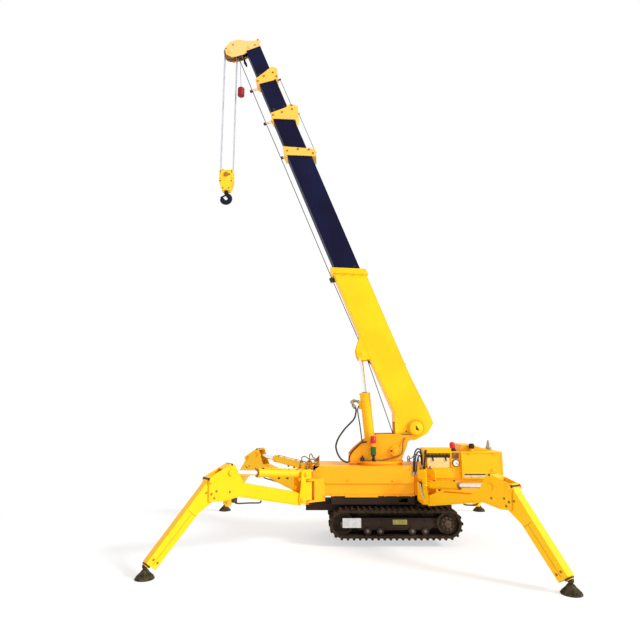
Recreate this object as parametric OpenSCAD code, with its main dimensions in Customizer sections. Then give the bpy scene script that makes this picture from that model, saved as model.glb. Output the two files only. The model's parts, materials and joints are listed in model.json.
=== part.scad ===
// Spider crane: a five-section telescopic crane on rubber tracks, standing on four
// folding outriggers. Millimetres, +X forward, +Y to the machine's left, +Z up, the
// origin on the floor midway between the pads.

/* [Stance] */
// Angle of the boom above the horizontal
boom_angle = 68.1; // [62:0.1:74]
// Height of the tracks above the floor while the outriggers carry the machine
track_lift = 80; // [60:5:90]
// Angle between the front left outrigger and the centre line
front_left_spread = 37.6; // [30:0.2:46]
// Angle between the front right outrigger and the centre line
front_right_spread = 45; // [30:0.5:50]
// Angle between the rear left outrigger and the centre line
rear_left_spread = 58.5; // [44:0.5:62]
// Angle between the rear right outrigger and the centre line
rear_right_spread = 46; // [40:0.5:62]

/* [Outriggers] */
// From a front king pin's axis to the middle of its pad
reach_front = 1920; // [1880:5:1930]
// From a rear king pin's axis to the middle of its pad
reach_rear = 1840; // [1820:5:1890]
// Front king pins, forward of the machine's own zero
king_front_x = 453; // [440:1:470]
// King pins, to each side of the centre line
king_y = 360; // [355:1:370]
// Width over an arm's side plates
arm_w = 130; // [120:2:140]
// Radius of a foot pad
pad_r = 93; // [88:1:120]

/* [Tracks] */
// Width of a track
track_w = 230; // [200:5:240]
// From one track's outer face to the other's
track_over = 900; // [880:5:920]
// Height of a track over its lugs
track_h = 352; // [352:1:352]
// Distance between the sprocket's and the idler's axes
wheelbase = 1239; // [1239:1:1239]
// Number of lugs round a track
lug_count = 48; // [44:1:50]

/* [Boom] */
// Outer width of the base section
base_w = 280; // [276:1:284]
// How far the second section is drawn out of the base section
draw_2 = 1772; // [1500:4:1800]
// How far each of the three upper sections is drawn out of the one below it
draw_3 = 460; // [300:5:600]

/* [Hook] */
// From the head sheaves' axis down to the top of the hook block
fall = 1885; // [1500:5:2200]
// Diameter of the hoist rope
rope_d = 10; // [8:1:12]

/* [Hidden] */

$fn = 64;

yellow = [1.0, 0.78, 0.08];
navy = [0.08, 0.09, 0.16];
black = [0.13, 0.12, 0.12];
chrome = [0.82, 0.82, 0.8];

king_rear_x = -960.2;

// Everything is drawn about the machine's own zero, then moved so that the origin of the
// whole stands midway between the outermost pads.
function pad_x(front, spread) = front ? king_front_x + reach_front * cos(spread)
    : king_rear_x - reach_rear * cos(spread);
function pad_y(front, spread) = king_y + (front ? reach_front : reach_rear) * sin(spread);
centre_x = (max(pad_x(true, front_left_spread), pad_x(true, front_right_spread))
    + min(pad_x(false, rear_left_spread), pad_x(false, rear_right_spread))) / 2;
centre_y = (max(pad_y(true, front_left_spread), pad_y(false, rear_left_spread))
    - max(pad_y(true, front_right_spread), pad_y(false, rear_right_spread))) / 2;

// Undercarriage
lug_tip_r = track_h / 2;
lug_h = 20;
belt_t = 28;
belt_r = lug_tip_r - lug_h;
wheel_r = belt_r - belt_t;
sprocket_x = -1225;
idler_x = sprocket_x + wheelbase;
wheel_z = track_lift + lug_tip_r;
track_y = (track_over - track_w) / 2;
roller_r = 44;
roller_z = track_lift + lug_h + belt_t + roller_r + 1;
rollers_x = [-272, -425, -802, -955];

// Deck
deck_low = 555;
deck_seam = 700;
deck_top = 905;
deck_front = 380;
deck_waist = -860;
deck_back = -985;
deck_half = 300;
waist_half = 268;
tail_end = -1950;
tail_top = 760;

// Upper structure, measured from the slew axis
slew_x = -478;
ring_h = 26;
turret_z = deck_top + ring_h;
cheek_in = 150;
cheek_t = 18;
foot_x = -454;
foot_z = 1361;
foot_pin_r = 34;
luff_base = [108, 1065];
luff_eye_u = 1141;
luff_eye_w = 277.5;
luff_top = [foot_x + luff_eye_u * cos(boom_angle) + luff_eye_w * sin(boom_angle),
    foot_z + luff_eye_u * sin(boom_angle) - luff_eye_w * cos(boom_angle)];
luff_len = norm(luff_top - luff_base);
luff_angle = atan2(luff_top[1] - luff_base[1], luff_top[0] - luff_base[0]);
luff_barrel_len = 742;
luff_stroke_closed = 799;

// Boom sections: u runs up the boom from the foot pin, w from its middle towards its back.
base_back = 200;
base_under = -196;
oblique = 0.45;
base_end = 2278;
// [half depth, half width, wall, inner end when closed]
sections = [[157, 118, 8, 180], [139, 104, 7, 410], [123, 90, 7, 635], [108, 76, 6, 830]];
// Where each section's outer collar starts on the centre line while all are closed
stack_2 = base_end + 10;
stack_3 = 2443;
stack_4 = 2633;
stack_5 = 2782;

// Outrigger profile: r runs outwards from the king pin, z up.
root = [120, 545];
// The rear arms hang this much lower about their root pins than the front ones
rear_sag = 1.3;
function hung(p, front) = front ? p
    : root + [(p[0] - root[0]) * cos(rear_sag) + (p[1] - root[1]) * sin(rear_sag),
        (p[1] - root[1]) * cos(rear_sag) - (p[0] - root[0]) * sin(rear_sag)];
knee = [1295, 860];
function knee_at(front) = hung(knee, front);
eye_front = [1065, 920];
eye_rear = [1065, 835];
function eye_at(front) = hung(front ? eye_front : eye_rear, front);
base_front = [70, 828];
base_rear = [115, 705];
post_gap = 70;
post_t = 12;
arm_plate = 10;
king_r = 30;
lug_r = 58;
pin_r = 20;
ball_r = 30;
ball_z = 112;
ball_side = -24;
// The leg runs from the knee pin to its ball, which sits a little to the inner side of it.
function ball_gap(front) = norm([(front ? reach_front : reach_rear) - knee_at(front)[0],
    knee_at(front)[1] - ball_z]);
function leg_drop(front) = atan2(knee_at(front)[1] - ball_z,
    (front ? reach_front : reach_rear) - knee_at(front)[0]) - asin(-ball_side / ball_gap(front));
function leg_len(front) = sqrt(pow(ball_gap(front), 2) - pow(ball_side, 2)) + ball_side;

// ---------- shared shapes ----------

// A profile drawn in x and z, given a thickness from y0 to y1.
module slab(y0, y1) {
    translate([0, y1, 0]) rotate([90, 0, 0]) linear_extrude(y1 - y0) children();
}

// A round bar along y through (x, z), from y0 to y1.
module cross_bar(x, z, r, y0, y1) {
    translate([x, y1, z]) rotate([90, 0, 0]) cylinder(r = r, h = y1 - y0);
}

module both_sides() {
    children();
    mirror([0, 1, 0]) children();
}

module box(low, high) {
    translate(low) cube(high - low);
}

// ---------- undercarriage ----------

module belt_outline(r) {
    translate([sprocket_x, wheel_z]) circle(r);
    translate([idler_x, wheel_z]) circle(r);
    translate([sprocket_x, wheel_z - r]) square([wheelbase, 2 * r]);
}

// The point, with its outward angle, that lies a share s of the way round the belt.
belt_turn = PI * belt_r;
belt_path = 2 * wheelbase + 2 * belt_turn;
function belt_point(s) =
    let (d = s * belt_path)
    d < wheelbase ? [idler_x - d, wheel_z + belt_r, 90]
    : d < wheelbase + belt_turn ?
        let (a = 90 + (d - wheelbase) / belt_turn * 180)
        [sprocket_x + belt_r * cos(a), wheel_z + belt_r * sin(a), a]
    : d < 2 * wheelbase + belt_turn ? [sprocket_x + d - wheelbase - belt_turn, wheel_z - belt_r, 270]
    : let (a = 270 + (d - 2 * wheelbase - belt_turn) / belt_turn * 180)
        [idler_x + belt_r * cos(a), wheel_z + belt_r * sin(a), a];

module track() {
    color(black) slab(track_y - track_w / 2, track_y + track_w / 2) {
        difference() {
            belt_outline(belt_r);
            belt_outline(wheel_r);
        }
        for (i = [0 : lug_count - 1]) {
            p = belt_point((i + 0.5) / lug_count);
            translate([p[0], p[1]]) rotate(p[2])
                polygon([[-4, -20], [lug_h, -11], [lug_h, 11], [-4, 20]]);
        }
    }
}

// Sprocket, idler, rollers and the side frame that carries them, inside one track.
module track_gear() {
    gap = 3;
    color(black) {
        difference() {
            union() {
                slab(track_y - 50, track_y + 50) polygon([
                    [idler_x - 60, wheel_z + 62], [sprocket_x + 190, wheel_z + 62],
                    [sprocket_x + 150, wheel_z - 20], [sprocket_x + 215, roller_z + 8],
                    [idler_x - 190, roller_z + 8], [idler_x - 120, wheel_z - 30]]);
                cross_bar(idler_x, wheel_z, 38, track_y - 62, track_y + 80);
                for (y = [-62, 50]) slab(track_y + y, track_y + y + 12)
                    translate([idler_x - 220, wheel_z - 38]) square([220, 76]);
            }
            translate([idler_x, 0]) slab(track_y - 50 - 0.1, track_y + 50 + 0.1)
                translate([0, wheel_z]) circle(wheel_r + 8);
        }
        cross_bar(idler_x, wheel_z, 30, track_y - 62, track_y + 62);
        difference() {
            cross_bar(idler_x, wheel_z, wheel_r - gap, track_y - 44, track_y + 44);
            cross_bar(idler_x, wheel_z, wheel_r - 34, track_y + 24, track_y + 45);
        }
        for (x = rollers_x) {
            cross_bar(x, roller_z, roller_r - 1, track_y - 82, track_y + 82);
            slab(track_y - 50, track_y + 50) translate([x - 40, roller_z]) square([80, 30]);
        }
        cross_bar(sprocket_x, wheel_z, wheel_r - gap, track_y - 30, track_y + 30);
        cross_bar(sprocket_x, wheel_z, 88, track_y - 60, track_y + 84);
        slab(track_y - 50, track_y + 28) translate([sprocket_x, wheel_z - 55]) square([200, 110]);
    }
}

module undercarriage_frame() {
    inner = track_y - track_w / 2 - 8;
    low = 372;
    color(black) difference() {
        union() {
            box([-1330, -inner, low], [468, inner, deck_low - 100]);
            box([deck_waist, -deck_half, deck_low - 100], [150, deck_half, deck_low]);
            box([-1200, -195, deck_low - 100], [deck_waist, 195, deck_low]);
            both_sides() for (x = [-1010, -230])
                box([x - 75, 0, wheel_z + 62], [x + 75, track_y - 30, low + 4]);
        }
        // A pair of slots that cross inside, one falling away from either side
        for (side = [-1, 1]) translate([-780, 0, 0]) rotate([90, 0, 90]) linear_extrude(108)
            polygon([[side * 400, 500], [side * 400, 544], [-side * 400, 404], [-side * 400, 360]]);
    }
}

// ---------- deck ----------

// The two eyes that hold one king pin, with the web that ties them to the deck.
module king_lugs(front) {
    x = front ? king_front_x : king_rear_x;
    for (z = [495, 740]) translate([0, 0, z]) linear_extrude(25) difference() {
        union() {
            translate([x, king_y]) circle(lug_r);
            if (front) polygon([[230, 230], [230, 290], [x - 31, king_y + 49], [x + 31, king_y - 49],
                [deck_front, 230]]);
            else translate([x - lug_r, 196]) square([2 * lug_r, king_y - 196]);
        }
        translate([x, king_y]) circle(king_r);
    }
    // The web between the eyes stays clear of the post as it swings
    if (front) {
        translate([0, 0, 495]) linear_extrude(270) difference() {
            polygon([[230, 230], [230, 290], [x - 31, king_y + 49], [x + 31, king_y - 49],
                [deck_front, 230]]);
            translate([x, king_y]) circle(92);
        }
        box([230, 200, 495], [deck_front - 30, 290, 740]);
    }
    else box([x - lug_r, 196, 495], [x + lug_r, waist_half, 740]);
    translate([x, king_y, 470]) cylinder(r = king_r, h = 310);
}

module deck_frame() {
    color(yellow) difference() {
        union() {
            box([deck_waist, -deck_half, deck_seam], [deck_front, deck_half, deck_top]);
            box([deck_waist, -285, deck_low + 12], [deck_front - 20, 285, deck_seam]);
            box([deck_waist, -310, deck_low], [deck_front - 40, 310, deck_low + 12]);
            box([deck_back, -waist_half, deck_low], [deck_waist, waist_half, deck_top]);
            box([tail_end, -250, 575], [deck_back, 250, tail_top]);
            both_sides() box([-414, 302, deck_low - 14], [-12, 314, deck_low + 12]);
            both_sides() {
                king_lugs(true);
                king_lugs(false);
            }
        }
        box([deck_back + 30, -225, deck_low - 1], [200, 225, deck_top - 18]);
        box([tail_end + 20, -235, 574], [deck_back - 20, 235, tail_top - 15]);
    }
}

module slew_ring() {
    color(black) translate([slew_x, 0, deck_top]) difference() {
        cylinder(r = 285, h = ring_h, $fn = 96);
        translate([0, 0, -1]) cylinder(r = 190, h = ring_h + 2, $fn = 96);
    }
}

// ---------- turret ----------

module at_slew() {
    translate([slew_x, 0, 0]) children();
}

module cheek_outline() {
    polygon([[-242, turret_z], [396, turret_z], [396, 1028], [337, 1094], [206, 1201], [53, 1284],
        [-380, 1290], [foot_x + 90, foot_z + 55], [foot_x - 60, foot_z - 87], [-345, 1195],
        [-326, 1128]]);
    translate([foot_x, foot_z]) circle(105);
}

module turret() {
    color(yellow) at_slew() {
        translate([0, 0, turret_z]) cylinder(r = 300, h = 24, $fn = 96);
        both_sides() {
            slab(cheek_in, cheek_in + cheek_t) cheek_outline();
            cross_bar(foot_x, foot_z, 72, cheek_in + cheek_t, cheek_in + cheek_t + 12);
            cross_bar(luff_base[0], luff_base[1], 55, cheek_in + cheek_t, cheek_in + cheek_t + 8);
        }
        cross_bar(foot_x, foot_z, foot_pin_r, -cheek_in - 40, cheek_in + 40);
        cross_bar(luff_base[0], luff_base[1], 26, -cheek_in - 30, cheek_in + 30);
        box([378, -cheek_in, turret_z], [396, cheek_in, 1028]);
        box([-242, -cheek_in, turret_z], [-228, cheek_in, 960]);
    }
}

module winch_drum() {
    x = -180;
    z = 1080;
    color(black) at_slew() {
        cross_bar(x, z, 72, -cheek_in, cheek_in);
        cross_bar(x, z, 105, -128, -116);
        cross_bar(x, z, 105, 116, 128);
    }
}

// ---------- luffing cylinder ----------

// Lays x along a cylinder whose base pin is at p, in the plane of x and z.
module along(p, angle) {
    translate([p[0], 0, p[1]]) rotate([0, -angle, 0]) children();
}

module round_x(x0, x1, r) {
    translate([x0, 0, 0]) rotate([0, 90, 0]) cylinder(r = r, h = x1 - x0);
}

// A barrel with a bored eye at the origin, open at the gland for its rod.
module barrel(length, r, rod_r, eye_r, eye_w, bore_r) {
    difference() {
        union() {
            cross_bar(0, 0, eye_r, -eye_w / 2, eye_w / 2);
            round_x(eye_r - 8, length - 40, r);
            round_x(length - 42, length, r + 3);
        }
        cross_bar(0, 0, bore_r, -eye_w, eye_w);
        round_x(eye_r + 25, length - 40, r - 10);
        round_x(length - 45, length + 1, rod_r + 0.1);
    }
}

// A rod with its piston inside the barrel, and an eye of its own with a short pin in it.
module rod(from, to, r, piston_r, eye_r, eye_w) {
    round_x(from, to - eye_r + 8, r);
    round_x(from, from + 40, piston_r);
    cross_bar(to, 0, eye_r, -eye_w / 2, eye_w / 2);
}

luff_r = 67;
luff_rod_r = 27;
luff_rod_back = luff_stroke_closed - 92;

module luff_barrel() {
    color(yellow) at_slew() along(luff_base, luff_angle)
        barrel(luff_barrel_len, luff_r, luff_rod_r, 55, 110, 26.1);
    color(yellow) at_slew() along(luff_base, luff_angle)
        box([luff_barrel_len - 200, -22, -luff_r - 30], [luff_barrel_len - 95, 22, -luff_r + 4]);
}

module luff_rod() {
    color(chrome) at_slew() along(luff_base, luff_angle)
        rod(luff_len - luff_rod_back, luff_len, luff_rod_r, luff_r - 12, 44, 144);
}

// ---------- boom ----------

// Boom frame: x up the boom from the foot pin, z towards the boom's back.
module at_boom(shift = 0) {
    translate([slew_x + foot_x, 0, foot_z]) rotate([0, -boom_angle, 0])
        translate([shift, 0, 0]) children();
}

// A cut that leans with the boom's oblique ends, from u on the centre line outwards.
module beyond(u) {
    polygon([[u + 400 * oblique, -400], [u - 400 * oblique, 400], [u + 9000, 400], [u + 9000, -400]]);
}

module boom_base() {
    half = base_w / 2;
    wall = 8;
    color(yellow) at_boom() difference() {
        union() {
            slab(-half, half) difference() {
                polygon([[-27, 235], [149, 235], [470, 210], [685, base_back], [2450, base_back],
                    [2450, base_under], [1469, base_under], [271, -174], [32, -268], [-88, -186],
                    [-137, -59], [-117, 117]]);
                beyond(base_end);
            }
            slab(-half - 12, half + 12) intersection() {
                polygon([[2056, -213], [2450, -213], [2450, 223], [2056, 223]]);
                difference() {
                    beyond(base_end - 83);
                    beyond(base_end);
                }
            }
            both_sides() slab(78, 92) polygon([[1371, -186], [1371, base_under], [1219, -318],
                [1100, -332], [1050, -280], [1033, base_under], [1033, -186]]);
            both_sides() cross_bar(0, 0, 62, half - 30, half);
        }
        slab(wall - half, half - wall) {
            polygon([[166, base_back - wall], [2550, base_back - wall], [2550, base_under + wall],
                [1469, base_under + wall], [166, -164]]);
        }
        slab(30 - half, half - 30) polygon([[-300, 210], [167, 210], [167, -314], [-300, -314]]);
        cross_bar(0, 0, foot_pin_r + 0.1, -half - 1, half + 1);
    }
}

// One inner section: a rectangular tube that starts at its inner end and stops in its collar.
module section_tube(i, back, front) {
    s = sections[i];
    slab(-s[1], s[1]) difference() {
        polygon([[back, -s[0]], [front + 400, -s[0]], [front + 400, s[0]], [back, s[0]]]);
        beyond(front);
    }
}

module section_hollow(i, back, front) {
    s = sections[i];
    slab(s[2] - s[1], s[1] - s[2])
        polygon([[back - 1, s[2] - s[0]], [front + 400, s[2] - s[0]], [front + 400, s[0] - s[2]],
            [back - 1, s[0] - s[2]]]);
}

// Each collar's outline in u and w, measured from where its lower edge meets the centre line.
collars = [
    [[83, -186], [217, -172], [8, 245], [-98, 218]],
    [[69, -152], [158, -145], [158, 79], [186, 168], [117, 258], [-18, 223], [-73, 159]],
    [[18, -142], [107, -153], [209, 147], [143, 202], [15, 160], [-7, 87]]
];

module boom_section(i, closed_at, shift) {
    s = sections[i];
    color(navy) at_boom(shift) difference() {
        section_tube(i, s[3], closed_at + 60);
        section_hollow(i, s[3], closed_at + 60);
    }
}

module collar(i, closed_at, shift) {
    s = sections[i];
    color(yellow) at_boom(shift) difference() {
        translate([closed_at, 0, 0]) slab(-s[1] - 12, s[1] + 12) polygon(collars[i]);
        section_tube(i, closed_at - 400, closed_at + 60);
        section_hollow(i, closed_at - 400, closed_at + 600);
    }
}

// Head outline in u and w from the head's own origin, where its lower edge meets the centre line.
head_outline = [[151, -397], [195, -362], [239, -271], [229, -160], [156, -34], [114, 88], [133, 130],
    [74, 142], [39, 101], [18, 60], [-13, -86], [-30, -170], [-22, -270], [-9, -341], [63, -404]];
head_in = 56;
head_sheave = [94, -331];
idler_sheave = [45, -36];
sheave_r = 90;
draw_5 = draw_2 + 3 * draw_3;

module boom_section_5() {
    s = sections[3];
    color(navy) at_boom(draw_5) difference() {
        slab(-s[1], s[1]) polygon([[s[3], -s[0]], [stack_5, -s[0]], [stack_5, s[0]], [s[3], s[0]]]);
        section_hollow(3, s[3], stack_5 + 400);
    }
}

module boom_head() {
    s = sections[3];
    color(yellow) at_boom(draw_5) translate([stack_5, 0, 0]) {
        // Cheeks narrower than the last section, carried by a flange on each side of its end
        both_sides() {
            slab(head_in, head_in + 10) difference() {
                polygon(head_outline);
                translate([-100, -s[0]]) square([100, 2 * s[0]]);
            }
            slab(head_in, s[1]) translate([0, -s[0]]) square([16, 2 * s[0]]);
        }
        slab(-head_in, head_in) polygon([[203, -345], [239, -271], [229, -160], [156, -34], [110, 88],
            [110, 109], [0, 109], [0, 99], [99, 99], [99, 86], [144, -37], [217, -165],
            [227, -268], [196, -338]]);
    }
}

// A sheave whose rope runs at radius r, its axis along y.
module sheave(r) {
    rotate([90, 0, 0]) rotate_extrude() polygon([[0, -14], [r + 10, -14], [r + 10, -9], [r - 5, -6],
        [r - 5, 6], [r + 10, 9], [r + 10, 14], [0, 14]]);
}

module head_sheaves() {
    color(black) at_boom(draw_5 + stack_5) {
        for (p = [[head_sheave, sheave_r], [idler_sheave, 55]], y = [-32, 32])
            translate([p[0][0], y, p[0][1]]) sheave(p[1]);
        cross_bar(head_sheave[0], head_sheave[1], 24, -head_in, head_in);
        cross_bar(idler_sheave[0], idler_sheave[1], 20, -head_in, head_in);
    }
}

// ---------- hook ----------

head_u = stack_5 + draw_5 + head_sheave[0];
head_x = slew_x + foot_x + head_u * cos(boom_angle) - head_sheave[1] * sin(boom_angle);
head_z = foot_z + head_u * sin(boom_angle) + head_sheave[1] * cos(boom_angle);
block_top = head_z - fall;
block_sheave_z = block_top - 70;

module rope_falls() {
    color(chrome) for (x = [-1, 1], y = [-32, 32])
        translate([head_x + x * sheave_r, y, block_sheave_z])
            cylinder(d = rope_d, h = head_z - block_sheave_z, $fn = 16);
}

module hook_block() {
    color(yellow) translate([head_x, 0, block_sheave_z]) {
        for (y = [-61, -7, 47]) slab(y, y + 14) polygon([[-92, 70], [92, 70], [98, 58], [98, -112],
            [58, -232], [-58, -232], [-98, -112], [-98, 58]]);
        cross_bar(0, 0, 26, -70, 70);
        slab(-61, 61) polygon([[-56, -170], [56, -170], [56, -226], [-56, -226]]);
    }
    color(black) translate([head_x, 0, block_sheave_z]) for (y = [-34, 20])
        cross_bar(0, 0, 84, y, y + 14);
}

module hook() {
    z = block_sheave_z - 234;
    color(black) translate([head_x, 0, z]) {
        translate([0, 0, -24]) cylinder(r = 32, h = 23);
        translate([0, 0, -40]) cylinder(r = 24, h = 20);
        translate([0, 0, -112]) slab(-19, 19) difference() {
            union() {
                circle(90);
                translate([-26, 0]) square([52, 90]);
            }
            circle(34);
            polygon([[20, 0], [110, 14], [110, 56], [66, 62], [34, 58], [20, 30]]);
        }
    }
}

// ---------- rear body ----------

cover_front = -1452;
cover_back = -1958;
cover_half = 310;
cover_top = 1077;
cover_low = tail_top;
cover_t = 8;

module engine_cover() {
    color(yellow) difference() {
        union() {
            box([cover_back, -cover_half, cover_low], [cover_front, cover_half, cover_top]);
            slab(-170, 170) polygon([[-1480, cover_top - 1], [-1885, cover_top - 1],
                [-1640, 1150], [-1500, 1150]]);
        }
        box([cover_back + cover_t, cover_t - cover_half, cover_low - 1],
            [cover_front - cover_t, cover_half - cover_t, cover_top - cover_t]);
    }
}

module engine_block() {
    color(black) box([-1900, -220, tail_top], [-1520, 220, 1030]);
}

// The control panel stands in front of a tank that fills the space towards the cover.
module console() {
    wall = 8;
    color(yellow) difference() {
        union() {
            box([-1340, 120, tail_top], [deck_back, 270, 1119]);
            box([cover_front, -270, tail_top], [-1100, 121, 1072]);
            box([cover_front, -270, tail_top], [-1339, 270, 1072]);
            box([-1101, -270, tail_top], [deck_back, 121, deck_top]);
        }
        box([-1325, 215, 880], [-1005, 271, 1060]);
        box([-1340 + wall, 120 + wall, tail_top - 1], [deck_back - wall, 207, 1119 - wall]);
        box([cover_front + wall, wall - 270, tail_top - 1], [-1100 - wall, 113, 1072 - wall]);
        both_sides() box([-1020, 190, tail_top - 1], [deck_back + 1, 271, 766]);
    }
}

module lever_bank() {
    color(black) {
        box([-1325, 215, 1010], [-1005, 262, 1030]);
        for (i = [0 : 5]) box([-1300 + i * 48, 230, 920], [-1288 + i * 48, 242, 1012]);
        box([-1325, 215, 880], [-1005, 245, 922]);
        translate([-962, 232, deck_top]) cylinder(r = 14, h = 180);
    }
}

module fuel_cap() {
    color(black) translate([-1612, 212, cover_top]) {
        cylinder(r = 24, h = 45);
        translate([0, 0, 42]) cylinder(r = 36, h = 54);
    }
}

module beacon() {
    translate([-1400, 100, 1072]) {
        color(black) cylinder(r = 42, h = 36);
        color("red") translate([0, 0, 36]) {
            cylinder(r = 36, h = 60);
            translate([0, 0, 60]) cylinder(r1 = 36, r2 = 22, h = 18);
        }
    }
}

module exhaust() {
    color(chrome) translate([-1915, -60, cover_top]) {
        cylinder(r = 34, h = 30);
        translate([0, 0, 30]) cylinder(r1 = 34, r2 = 12, h = 90);
    }
}

module lamp_stack() {
    at_slew() translate([100, cheek_in + cheek_t + 50, 0]) {
        color(black) translate([0, 0, turret_z + 24]) cylinder(r = 14, h = 79);
        color("green") translate([0, 0, 1034]) cylinder(r = 36, h = 97);
        color("orange") translate([0, 0, 1131]) cylinder(r = 32, h = 49);
        color("red") translate([0, 0, 1180]) cylinder(r = 36, h = 86);
        color(black) box([-14, -50, 958], [14, 0, 986]);
    }
}

// ---------- outriggers ----------

// Places an outrigger drawn with x outwards from its king pin.
module outrigger(front, left, spread) {
    mirror([0, left ? 0 : 1, 0])
        translate([front ? king_front_x : king_rear_x, king_y, 0])
            rotate([0, 0, front ? spread : 180 - spread]) children();
}

// Lets what belongs to a rear arm hang lower about the root pin.
module sagged(front) {
    translate([root[0], 0, root[1]]) rotate([0, front ? 0 : rear_sag, 0])
        translate([-root[0], 0, -root[1]]) children();
}

arm_half = arm_w / 2;

module post(front) {
    base = front ? base_front : base_rear;
    color(yellow) difference() {
        union() {
                translate([0, 0, 525]) cylinder(r = 52, h = 210);
            box([-15, -post_gap - 1, 600], [58, post_gap + 1, 720]);
            both_sides() slab(post_gap, post_gap + post_t) {
                polygon([[-15, 530], [72, 530], [72, 495], [110, 488], [160, 500], [168, 560],
                    [140, 700], [135, 860], [105, 885], [10, 885], [-8, 865], [-8, 775], [72, 775],
                    [72, 735], [-15, 735]]);
            }
        }
        translate([0, 0, 500]) cylinder(r = king_r + 0.1, h = 300);
    }
    color(black) {
        both_sides() cross_bar(root[0], root[1], 32, post_gap + post_t, post_gap + post_t + 10);
        cross_bar(root[0], root[1], pin_r, -post_gap - 12, post_gap + 12);
        both_sides() cross_bar(base[0], base[1], 28, post_gap + post_t, post_gap + post_t + 10);
        cross_bar(base[0], base[1], pin_r, -post_gap - 12, post_gap + 12);
    }
}

module arm(front) {
    eye = front ? eye_front : eye_rear;
    top = eye[1] + (front ? 92 : 125);
    // The front arm is a box under its cylinder; the rear cylinder sinks into an open channel.
    waist = front ? [[1030, top - 18], [1000, 1150], [885, 1150], [892, 785], [220, 629], [190, 615]]
        : [[1030, top - 18], [1000, 1150], [185, 1150]];
    sagged(front) color(yellow) difference() {
        union() {
            slab(-arm_half, arm_half) {
                polygon(concat([[120, 500], [149, 478], [963, 660], [1173, 632], [1313, 645], [1318, 800],
                    [1330, 872], [1300, 896], [1060, top], [1020, top - 5]],
                    front ? [[905, 800], [211, 642], [110, 589]]
                        : [[905, 775], [790, 712], [300, 662], [205, 618], [110, 589]]));
                translate(root) circle(45);
            }
        }
        slab(arm_plate - arm_half, arm_half - arm_plate) {
            polygon(concat([[185, 499], [955, 673], [1150, 646], [1150, 600], [1400, 600], [1400, 1100],
                [1150, 1100], [1150, top - 53], [1060, top - 13]], waist));
        }
        cross_bar(root[0], root[1], pin_r + 0.1, -200, 200);
    }
    sagged(front) color(black) {
        cross_bar(knee[0], knee[1], pin_r, -arm_half - 16, arm_half + 16);
        both_sides() cross_bar(eye[0], eye[1], 26, arm_half, arm_half + 10);
    }
}

// The leg is drawn along its own length from the knee pin: x down the leg, z towards its back.
module at_leg(front) {
    p = knee_at(front);
    translate([p[0], 0, p[1]]) rotate([0, leg_drop(front), 0]) children();
}

leg_half = arm_half - arm_plate - 5;

module leg(front) {
    p = knee_at(front);
    long = leg_len(front);
    color(yellow) difference() {
        union() {
            at_leg(front) slab(-leg_half, leg_half) {
                polygon([[0, 30], [70, 16], [long, 6], [long, -112], [320, -120], [148, -170],
                    [20, -100], [-36, 0]]);
                circle(36);
            }
            at_leg(front) translate([long - 1, 0, ball_side]) rotate([0, 90, 0])
                cylinder(r = 38, h = 24);
        }
        cross_bar(p[0], p[1], pin_r + 0.1, -200, 200);
        translate([front ? reach_front : reach_rear, 0, ball_z]) sphere(r = ball_r + 0.3);
    }
}

module foot(front) {
    color(black) translate([front ? reach_front : reach_rear, 0, 0]) {
        rotate_extrude() polygon([[0, 0], [pad_r, 0], [pad_r, 9], [pad_r - 6, 15], [60, 40],
            [34, 76], [20, 88], [0, 92]]);
        translate([0, 0, ball_z]) sphere(r = ball_r);
    }
}

function lift_vector(front) = eye_at(front) - (front ? base_front : base_rear);
lift_r = 45;
lift_rod_r = 28;
lift_eye_r = 36;
// Barrel length and closed length of the front and the rear lift cylinders
lift_sizes = [[630, 792], [475, 852]];

module lift_barrel(front) {
    v = lift_vector(front);
    size = lift_sizes[front ? 0 : 1];
    color(yellow) along(front ? base_front : base_rear, atan2(v[1], v[0]))
        barrel(size[0], lift_r, lift_rod_r, lift_eye_r, 96, pin_r + 0.1);
}

module lift_rod(front) {
    v = lift_vector(front);
    size = lift_sizes[front ? 0 : 1];
    back = size[1] - 80;
    color(chrome) along(front ? base_front : base_rear, atan2(v[1], v[0]))
        rod(norm(v) - back, norm(v), lift_rod_r, lift_r - 11, lift_eye_r, 94);
}

// ---------- assembly ----------

module home() {
    translate([-centre_x, -centre_y, 0]) children();
}

home() undercarriage_frame();
home() track();  // track_left
home() mirror([0, 1, 0]) track();  // track_right
home() track_gear();  // track_gear_left
home() mirror([0, 1, 0]) track_gear();  // track_gear_right
home() deck_frame();
home() slew_ring();
home() turret();
home() winch_drum();
home() luff_barrel();
home() luff_rod();
home() boom_base();
home() boom_section(0, stack_2, draw_2);  // boom_section_2
home() collar(0, stack_2, draw_2);  // boom_collar_2
home() boom_section(1, stack_3, draw_2 + draw_3);  // boom_section_3
home() collar(1, stack_3, draw_2 + draw_3);  // boom_collar_3
home() boom_section(2, stack_4, draw_2 + 2 * draw_3);  // boom_section_4
home() collar(2, stack_4, draw_2 + 2 * draw_3);  // boom_collar_4
home() boom_section_5();
home() boom_head();
home() head_sheaves();
home() rope_falls();
home() hook_block();
home() hook();
home() engine_cover();
home() engine_block();
home() console();
home() lever_bank();
home() fuel_cap();
home() beacon();
home() exhaust();
home() lamp_stack();
for (place = [["front_left", true, true, front_left_spread],
    ["front_right", true, false, front_right_spread],
    ["rear_left", false, true, rear_left_spread],
    ["rear_right", false, false, rear_right_spread]]) {
    name = place[0];
    front = place[1];
    home() outrigger(front, place[2], place[3]) {
        post(front);
        arm(front);
        leg(front);
        foot(front);
        lift_barrel(front);
        lift_rod(front);
    }
}
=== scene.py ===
import json
import math

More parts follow.
